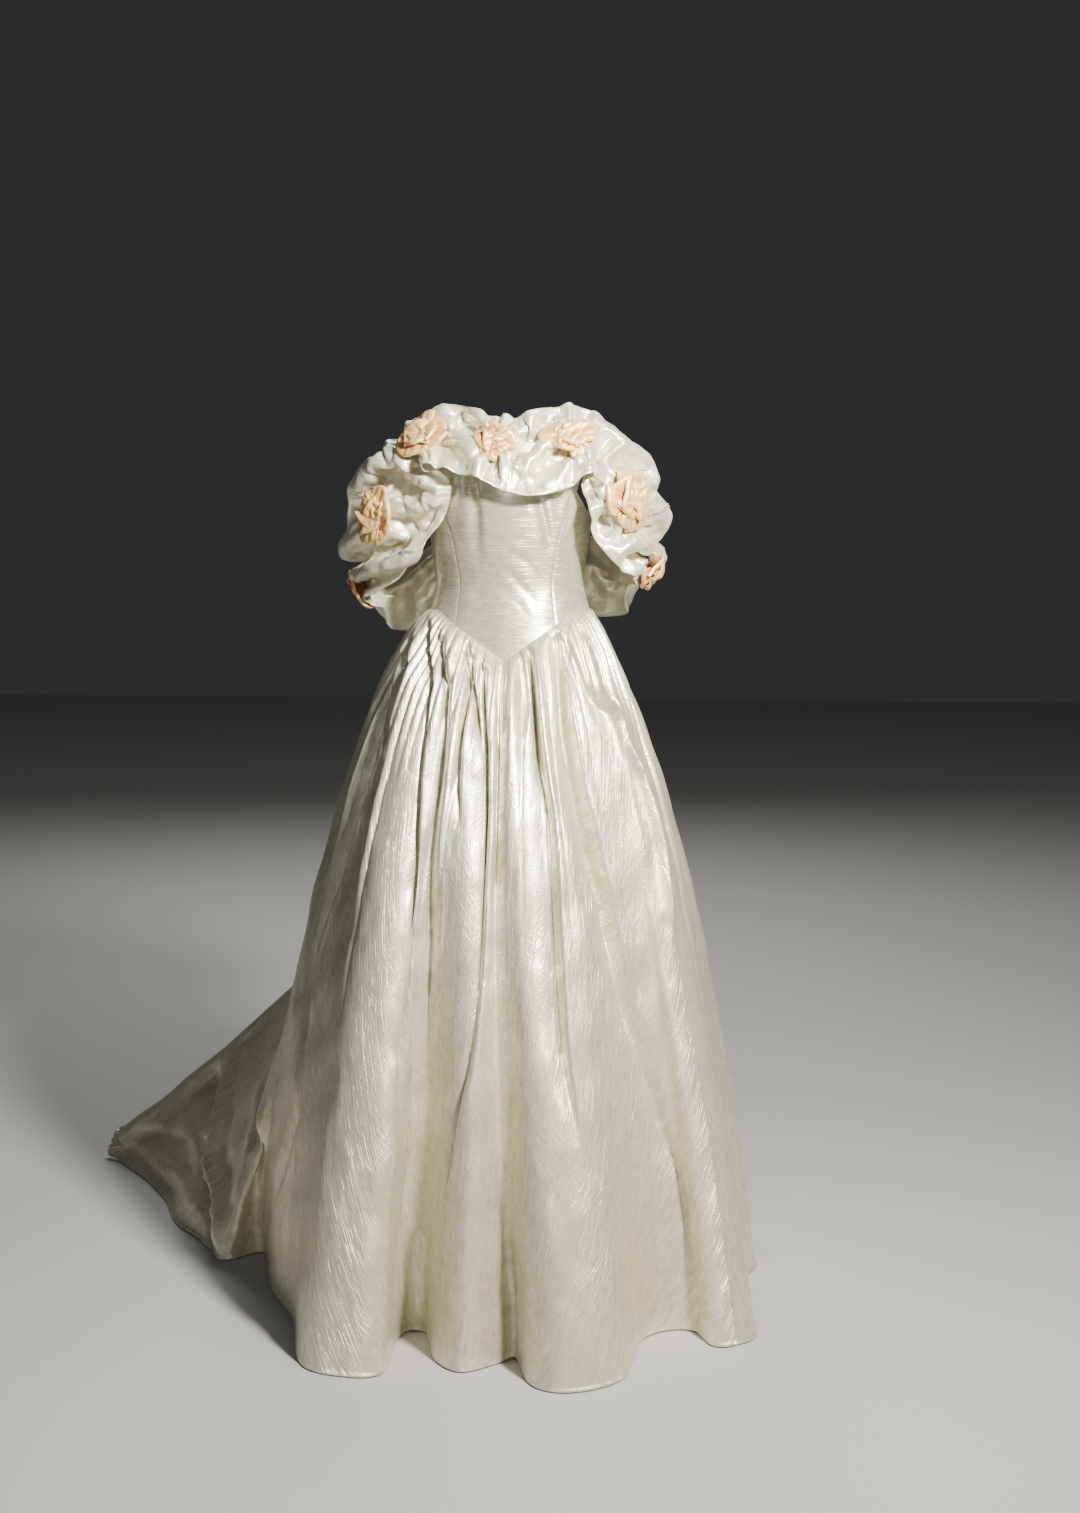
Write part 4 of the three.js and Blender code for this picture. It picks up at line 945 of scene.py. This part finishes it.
def settle_cloth(form, start, along_cut, across_cut, hold, inwards, outwards, rounds):
    """Lets cloth that is cut fuller than its form buckle into folds, while it is held near that form.

    along_cut and across_cut are the cut lengths of the grid's steps. Each round moves all points towards
    those lengths, keeps folds from being too sharp, and draws the points back to the form by their hold.
    """
    normals = facing_of(form)
    shear = np.sqrt(along_cut[:-1] ** 2 + across_cut[:, :-1] ** 2)
    links = [(0, 1, along_cut, False), (1, 0, across_cut, False), (1, 1, shear, False), (1, -1, shear, False),
             (0, 2, 0.8 * (along_cut[:, :-1] + along_cut[:, 1:]), True),
             (2, 0, 0.88 * (across_cut[:-1] + across_cut[1:]), True)]
    place = start.copy()
    before = start.copy()
    for _ in range(rounds):
        drift = place - before
        before = place.copy()
        place = place + KEPT_DRIFT * drift
        for down, along, cut, only_apart in links:
            first, second = neighbours(place, down, along)
            step = second - first
            length = np.linalg.norm(step, axis=-1)
            error = 1 - cut / np.maximum(length, 1e-6)
            if only_apart:
                error = np.minimum(error, 0)
            move = PULL_SHARE * error[..., None] * step
            moved = np.zeros_like(place)
            near, far = neighbours(moved, down, along)
            near += move
            far -= move
            place = place + moved
        apart = (place - form) * (1 - hold)[..., None]
        lift = (apart * normals).sum(-1)
        slide = apart - lift[..., None] * normals
        reach = np.linalg.norm(slide, axis=-1)
        slide = slide * np.minimum(1, SLIDE_LIMIT / np.maximum(reach, 1e-6))[..., None]
        place = form + slide + normals * np.clip(lift, -inwards, outwards)[..., None]
    return place


def finer_grid(grid, times):
    """Grid with more rows and columns, on smooth curves through its points."""
    for axis in (0, 1):
        grid = np.moveaxis(grid, axis, 0)
        last = len(grid) - 1
        place = np.linspace(0, last, last * times + 1)
        i = np.clip(place.astype(int), 0, last - 1)
        t = (place - i).reshape((-1,) + (1,) * (grid.ndim - 1))
        a, b, c, d = (grid[np.clip(i + k, 0, last)] for k in (-1, 0, 1, 2))
        bend = (2 * a - 5 * b + 4 * c - d) * t ** 2 + (3 * b - a - 3 * c + d) * t ** 3
        grid = 0.5 * (2 * b + (c - a) * t + bend)
        grid = np.moveaxis(grid, 0, axis)
    return grid


def settled_ruffle():
    """The whole ruffle as one grid: its stations, its form with the main folds, and the settled cloth."""
    spans = []
    for start, end in zip(RUFFLE_SEAMS[:-1], RUFFLE_SEAMS[1:]):
        count = round((length_at(np.array(end)) - length_at(np.array(start))) / RUFFLE_STEP / FINER)
        spans.append(np.linspace(start, end, int(count) + 1)[:-1])
    stations = np.append(np.concatenate(spans), CENTRE_BACK)
    station, across = np.meshgrid(stations, np.linspace(1, -1, RUFFLE_ROWS))
    form = ruffle_point(station, across)
    normals = facing_of(form)
    offset = np.zeros_like(form)
    for line, depth, width, lean in RUFFLE_FOLDS:
        places = points_along(line, FOLD_POINTS)
        strength = np.sin(np.pi * np.linspace(0.1, 0.95, len(places)))
        path = ruffle_point(places[:, 0], places[:, 1])
        press_crease(offset, form, normals, path, 1.5 * depth * strength, 1.3 * width, lean)
    puffed = ease_between(np.abs(station), 2.4, 3.6) * (1 - ease_between(np.abs(station), 8.2, 9.5))
    hold = 0.045 - 0.033 * puffed + 0.05 * np.exp(-(across / 0.1) ** 2)
    hold = hold + 0.5 * (1 - ease_between(np.minimum(station + CENTRE_BACK, CENTRE_BACK - station), 0, 0.4))
    fullness = RUFFLE_FULLNESS + (0.03 + 0.17 * puffed) * np.exp(-(across / 0.55) ** 2)
    for rose_station, size, _, _ in ROSES.values():
        away = np.linalg.norm(form - ruffle_point(rose_station, 0.0), axis=-1)
        hold += 0.5 * np.exp(-(away / (20 * size)) ** 2)
        fullness += (0.1 + 0.15 * puffed) * np.exp(-(away / 45) ** 2)
    along_step = np.linalg.norm(np.diff(form, axis=1), axis=-1)
    along_cut = np.maximum(along_step, 0.9 * along_step.mean(0)) * fullness[:, 1:]
    across_cut = np.linalg.norm(np.diff(form, axis=0), axis=-1) * (0.06 + fullness[1:] * 0.9)
    draw = np.random.RandomState(5)
    start = form + offset + normals * (puffed * draw.uniform(-4, 4, station.shape))[..., None]
    cloth = settle_cloth(form + offset, start, along_cut, across_cut, hold, 12, 22, 220)
    cloth = finer_grid(cloth, 2)
    crisp = cloth + facing_of(cloth) * draw.uniform(-0.5, 0.5, cloth.shape[:2])[..., None]
    crease = finer_grid((1 + 0.045 * (0.3 + 0.7 * puffed) * (1 - across ** 4))[..., None], 2)[..., 0]
    along_cut = np.linalg.norm(np.diff(cloth, axis=1), axis=-1) * crease[:, 1:]
    across_cut = np.linalg.norm(np.diff(cloth, axis=0), axis=-1) * (0.3 + 0.7 * crease[1:])
    hold = np.full(cloth.shape[:2], 0.02)
    return stations, settle_cloth(cloth, crisp, along_cut, across_cut, hold, 5, 5, 90)


RUFFLE_COLUMNS, SETTLED_RUFFLE = settled_ruffle()


def drawn_by_roses(cloth):
    """Adds the pleats that run out from each rose, where its stitches draw the ruffle in."""
    normals = facing_of(cloth)
    lift = np.zeros(cloth.shape[:2])
    for number, (station, size, _, _) in enumerate(ROSES.values()):
        column = round(float(np.interp(station, RUFFLE_COLUMNS, np.arange(len(RUFFLE_COLUMNS)))) * FINER)
        apart = cloth - cloth[len(cloth) // 2, column]
        normal = ruffle_facing(np.array(station), np.array(0.0))
        along = run_of_ruffle(station)
        angle = np.arctan2(apart @ np.cross(normal, along), apart @ along)
        angle = angle + 0.4 * np.sin(2 * angle + number)
        reach = np.linalg.norm(apart, axis=-1)
        pleat = np.abs(np.sin(PLEAT_COUNT * angle + number)) ** 0.7 - 0.6
        under_rose = np.exp(-(reach / (16 * size)) ** 2)
        lift += PLEAT_LIFT * pleat * (1 - under_rose) * np.exp(-(reach / PLEAT_RUN) ** 2)
    return cloth + normals * lift[..., None]


RUFFLE_CLOTH = drawn_by_roses(finer_grid(SETTLED_RUFFLE, FINER // 2))


def cloth_at(station, across):
    """Point of the settled ruffle at a station and a place across."""
    column = np.interp(station, RUFFLE_COLUMNS, np.arange(len(RUFFLE_COLUMNS))) * FINER
    row = (1 - across) / 2 * (len(RUFFLE_CLOTH) - 1)
    return RUFFLE_CLOTH[int(round(row)), int(round(column))]


def ruffle_piece(name, from_station, to_station):
    """One cut length of the settled ruffle, with a narrow rolled hem along both free edges."""
    first = int(np.argmin(np.abs(RUFFLE_COLUMNS - from_station))) * FINER
    last = int(np.argmin(np.abs(RUFFLE_COLUMNS - to_station))) * FINER
    points = RUFFLE_CLOTH[:, first:last + 1].copy()
    normals = facing_of(points)
    offset = np.zeros_like(points)
    for line, depth, width, lean in RUFFLE_FOLDS:
        path = np.array([cloth_at(along, up) for along, up in points_along(line, FOLD_POINTS)])
        t = np.linspace(0, 1, len(path))
        strength = np.sin(np.pi * (0.1 + 0.85 * t))
        press_crease(offset, points, normals, path, depth * strength, 0.42 * width, lean, sharp=1.0)
    points += offset
    down = lengths_along(points, 0) * 1000
    from_edge = np.minimum(down, down[-1:] - down)
    points += normals * (EDGE_ROLL * np.exp(-((from_edge - EDGE_RISE) / EDGE_HALF) ** 2))[..., None]
    place = np.stack([lengths_along(points, 1), lengths_along(points, 0)], -1)
    piece = cloth_piece(name + "_silk", points, place, ruffle_lit_silk)
    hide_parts(name)
    return piece


ruffle_piece("ruffle_front", -SHOULDER, SHOULDER)
ruffle_piece("sleeve_front_left", SHOULDER, OUTER_ARM)
ruffle_piece("sleeve_back_left", OUTER_ARM, CENTRE_BACK)
ruffle_piece("sleeve_front_right", -OUTER_ARM, -SHOULDER)
ruffle_piece("sleeve_back_right", -CENTRE_BACK, -OUTER_ARM)


# Roses
# Seven roses of peach satin, each folded and wound from one bias strip: a tight bud, then pleated petals that
# open outwards. They are sewn down on the gathered line of the ruffle.

ROSE_RADIUS = 37
SATIN_THICKNESS = 0.0006
PEACH_LIGHT = (0.9, 0.58, 0.25, 1)
# Painted shade: the darker peach that the roots of the petals get, where their folds are shaded
PEACH_ROOT_SHADE = (0.5, 0.2, 0.04, 1)
# Petals from the outside in: direction and tilt in degrees, length, half width, puff, pleats and their depth
ROSE_PETALS = (
    (0, 12, 1.1, 0.62, 0.2, 3, 0.07), (62, 20, 0.96, 0.5, 0.16, 4, 0.1),
    (118, 6, 1.12, 0.66, 0.22, 2, 0.06),
    (176, 18, 0.98, 0.56, 0.16, 3, 0.09), (236, 8, 1.14, 0.6, 0.2, 3, 0.07),
    (300, 16, 1.02, 0.6, 0.2, 4, 0.09),
    (28, 40, 0.86, 0.56, 0.22, 3, 0.08), (104, 34, 0.8, 0.6, 0.2, 4, 0.1),
    (190, 42, 0.84, 0.58, 0.22, 3, 0.08),
    (272, 36, 0.82, 0.56, 0.2, 4, 0.1), (60, 62, 0.68, 0.5, 0.18, 3, 0.08),
    (170, 58, 0.7, 0.54, 0.18, 2, 0.07),
    (285, 64, 0.66, 0.5, 0.18, 3, 0.09), (20, 80, 0.56, 0.36, 0.1, 2, 0.06))
ROSE_STRETCH = {  # how far each rose is drawn out along and across the ruffle
    "rose_shoulder_right": (1.12, 0.96), "rose_chest_centre": (1.02, 1), "rose_chest_left": (1.26, 0.88),
    "rose_sleeve_left": (1.22, 0.98), "rose_sleeve_right": (1.2, 0.96)}


def satin_finish():
    """Peach satin with painted shade: a deeper, darker peach at the root of a petal, where the folds are,
    than at its lip.
    """
    material, shader, _, colours = woven_finish(
        "peach_satin", PEACH_LIGHT, PEACH_ROOT_SHADE, roughest=0.52, smoothest=0.4,
        bump_strength=0.35, bump_distance=0.0002)
    tree = material.node_tree
    # The petal place runs from root to lip and mixes the painted shade in at the roots
    petal = tree.nodes.new("ShaderNodeUVMap")
    petal.uv_map = "petal_place"
    root_shade = tree.nodes.new("ShaderNodeSeparateXYZ")
    new_link(tree, petal, "UV", root_shade, "Vector")
    new_link(tree, root_shade, "Y", colours, "Factor")
    new_link(tree, colours, "Result", shader, "Base Color")
    shader.inputs["Metallic"].default_value = 0.35
    shader.inputs["Specular IOR Level"].default_value = 0.3
    return material


peach_satin = satin_finish()


def folded_petal(radius, draw, direction, tilt, length, width, puff, pleats, depth):
    """A doubled flap of satin, pinched into pleats at its root and rounded over at its lip, as a grid."""
    across, out = np.meshgrid(np.linspace(-1, 1, 27), np.linspace(0, 1.3, 17))
    flat = np.minimum(out, 1)
    turned = np.maximum(out - 1, 0) / 0.3
    long = radius * length * draw.uniform(0.9, 1.08)
    half = radius * width * draw.uniform(0.85, 1.12)
    skew = draw.uniform(-0.35, 0.35)
    lip = 1 - 0.22 * across ** 2 + 0.05 * np.sin(2.6 * across + draw.uniform(0, 6))
    forward = long * (0.05 + 0.95 * flat * lip) - 0.03 * long * turned
    sideways = half * across * (0.16 + 0.84 * np.sin(0.5 * np.pi * flat) ** 0.85) + skew * half * flat ** 2
    ridge = np.abs(np.sin(0.5 * np.pi * pleats * (across + draw.uniform(-0.3, 0.3)))) ** 0.8 - 0.5
    pleated = 2.1 * radius * depth * ridge * (np.minimum(1, 4 * flat) - 0.88 * flat)
    crowned = radius * puff * np.sin(np.pi * flat ** 0.75) * np.cos(0.5 * np.pi * across) ** 0.6
    rolled = radius * (0.1 * (1 - (1 - flat) ** 3) - 0.13 * np.sin(0.5 * np.pi * turned))
    wavy = 0.03 * radius * flat ** 2 * np.sin(3.4 * across + draw.uniform(0, 6))
    twist = math.radians(draw.uniform(-16, 16)) * flat
    height = crowned + pleated + rolled + wavy + sideways * np.tan(twist)
    lean = math.radians(tilt + draw.uniform(-6, 6))
    outward = forward * np.cos(lean) - height * np.sin(lean)
    upward = forward * np.sin(lean) + height * np.cos(lean)
    turn = math.radians(direction + draw.uniform(-14, 14))
    points = np.stack([outward * np.cos(turn) - sideways * np.sin(turn),
                       outward * np.sin(turn) + sideways * np.cos(turn), upward + 0.05 * radius], -1)
    # The third grid runs from root to lip and sets the painted shade, darkest at the root
    return points, np.stack([sideways * 0.001, out * long * 0.001], -1), np.stack([across, flat ** 1.5], -1)


def make_rose(name, station, size, turn, stand_off, seed):
    draw = np.random.RandomState(seed)
    radius = ROSE_RADIUS * size
    normal = ruffle_facing(np.array(station), np.array(0.0))
    base = ruffle_point(station, 0.0) + normal * stand_off
    along = run_of_ruffle(station)
    along = along - normal * (along @ normal)
    along = along / np.linalg.norm(along)
    place = np.column_stack([along, np.cross(normal, along), normal])
    spin = np.array(Matrix.Rotation(math.radians(turn), 3, "Z"))
    vertices = []
    faces = []
    uvs = []
    petal_shade_uvs = []
    stretch = np.array(ROSE_STRETCH.get(name, (1, 1)) + (1,))
    for petal in ROSE_PETALS:
        points, cloth, petal_place = folded_petal(radius, draw, *petal)
        faces.append(grid_faces(*points.shape[:2]) + sum(len(v) for v in vertices))
        vertices.append(((points.reshape(-1, 3) @ spin.T * stretch) @ place.T + base) * 0.001)
        uvs.append(cloth.reshape(-1, 2))
        petal_shade_uvs.append(petal_place.reshape(-1, 2))
    vertices = np.concatenate(vertices)
    faces = np.concatenate(faces)
    mesh = bpy.data.meshes.new(name + "_satin")
    mesh.from_pydata(vertices.tolist(), [], faces.tolist())
    for layer_name, places in (("cloth_place", uvs), ("petal_place", petal_shade_uvs)):
        layer = mesh.uv_layers.new(name=layer_name)
        layer.data.foreach_set("uv", np.concatenate(places)[faces.ravel()].astype(np.float32).ravel())
    mesh.polygons.foreach_set("use_smooth", np.ones(len(faces), bool))
    mesh.materials.append(peach_satin)
    piece = bpy.data.objects.new(name + "_satin", mesh)
    bpy.context.scene.collection.objects.link(piece)
    shell = piece.modifiers.new("satin", "SOLIDIFY")
    shell.thickness = SATIN_THICKNESS
    shell.offset = 0
    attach(piece, "root")
    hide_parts(name)
    return piece


for number, (rose, values) in enumerate(ROSES.items()):
    make_rose(rose, *values, seed=50 + number)
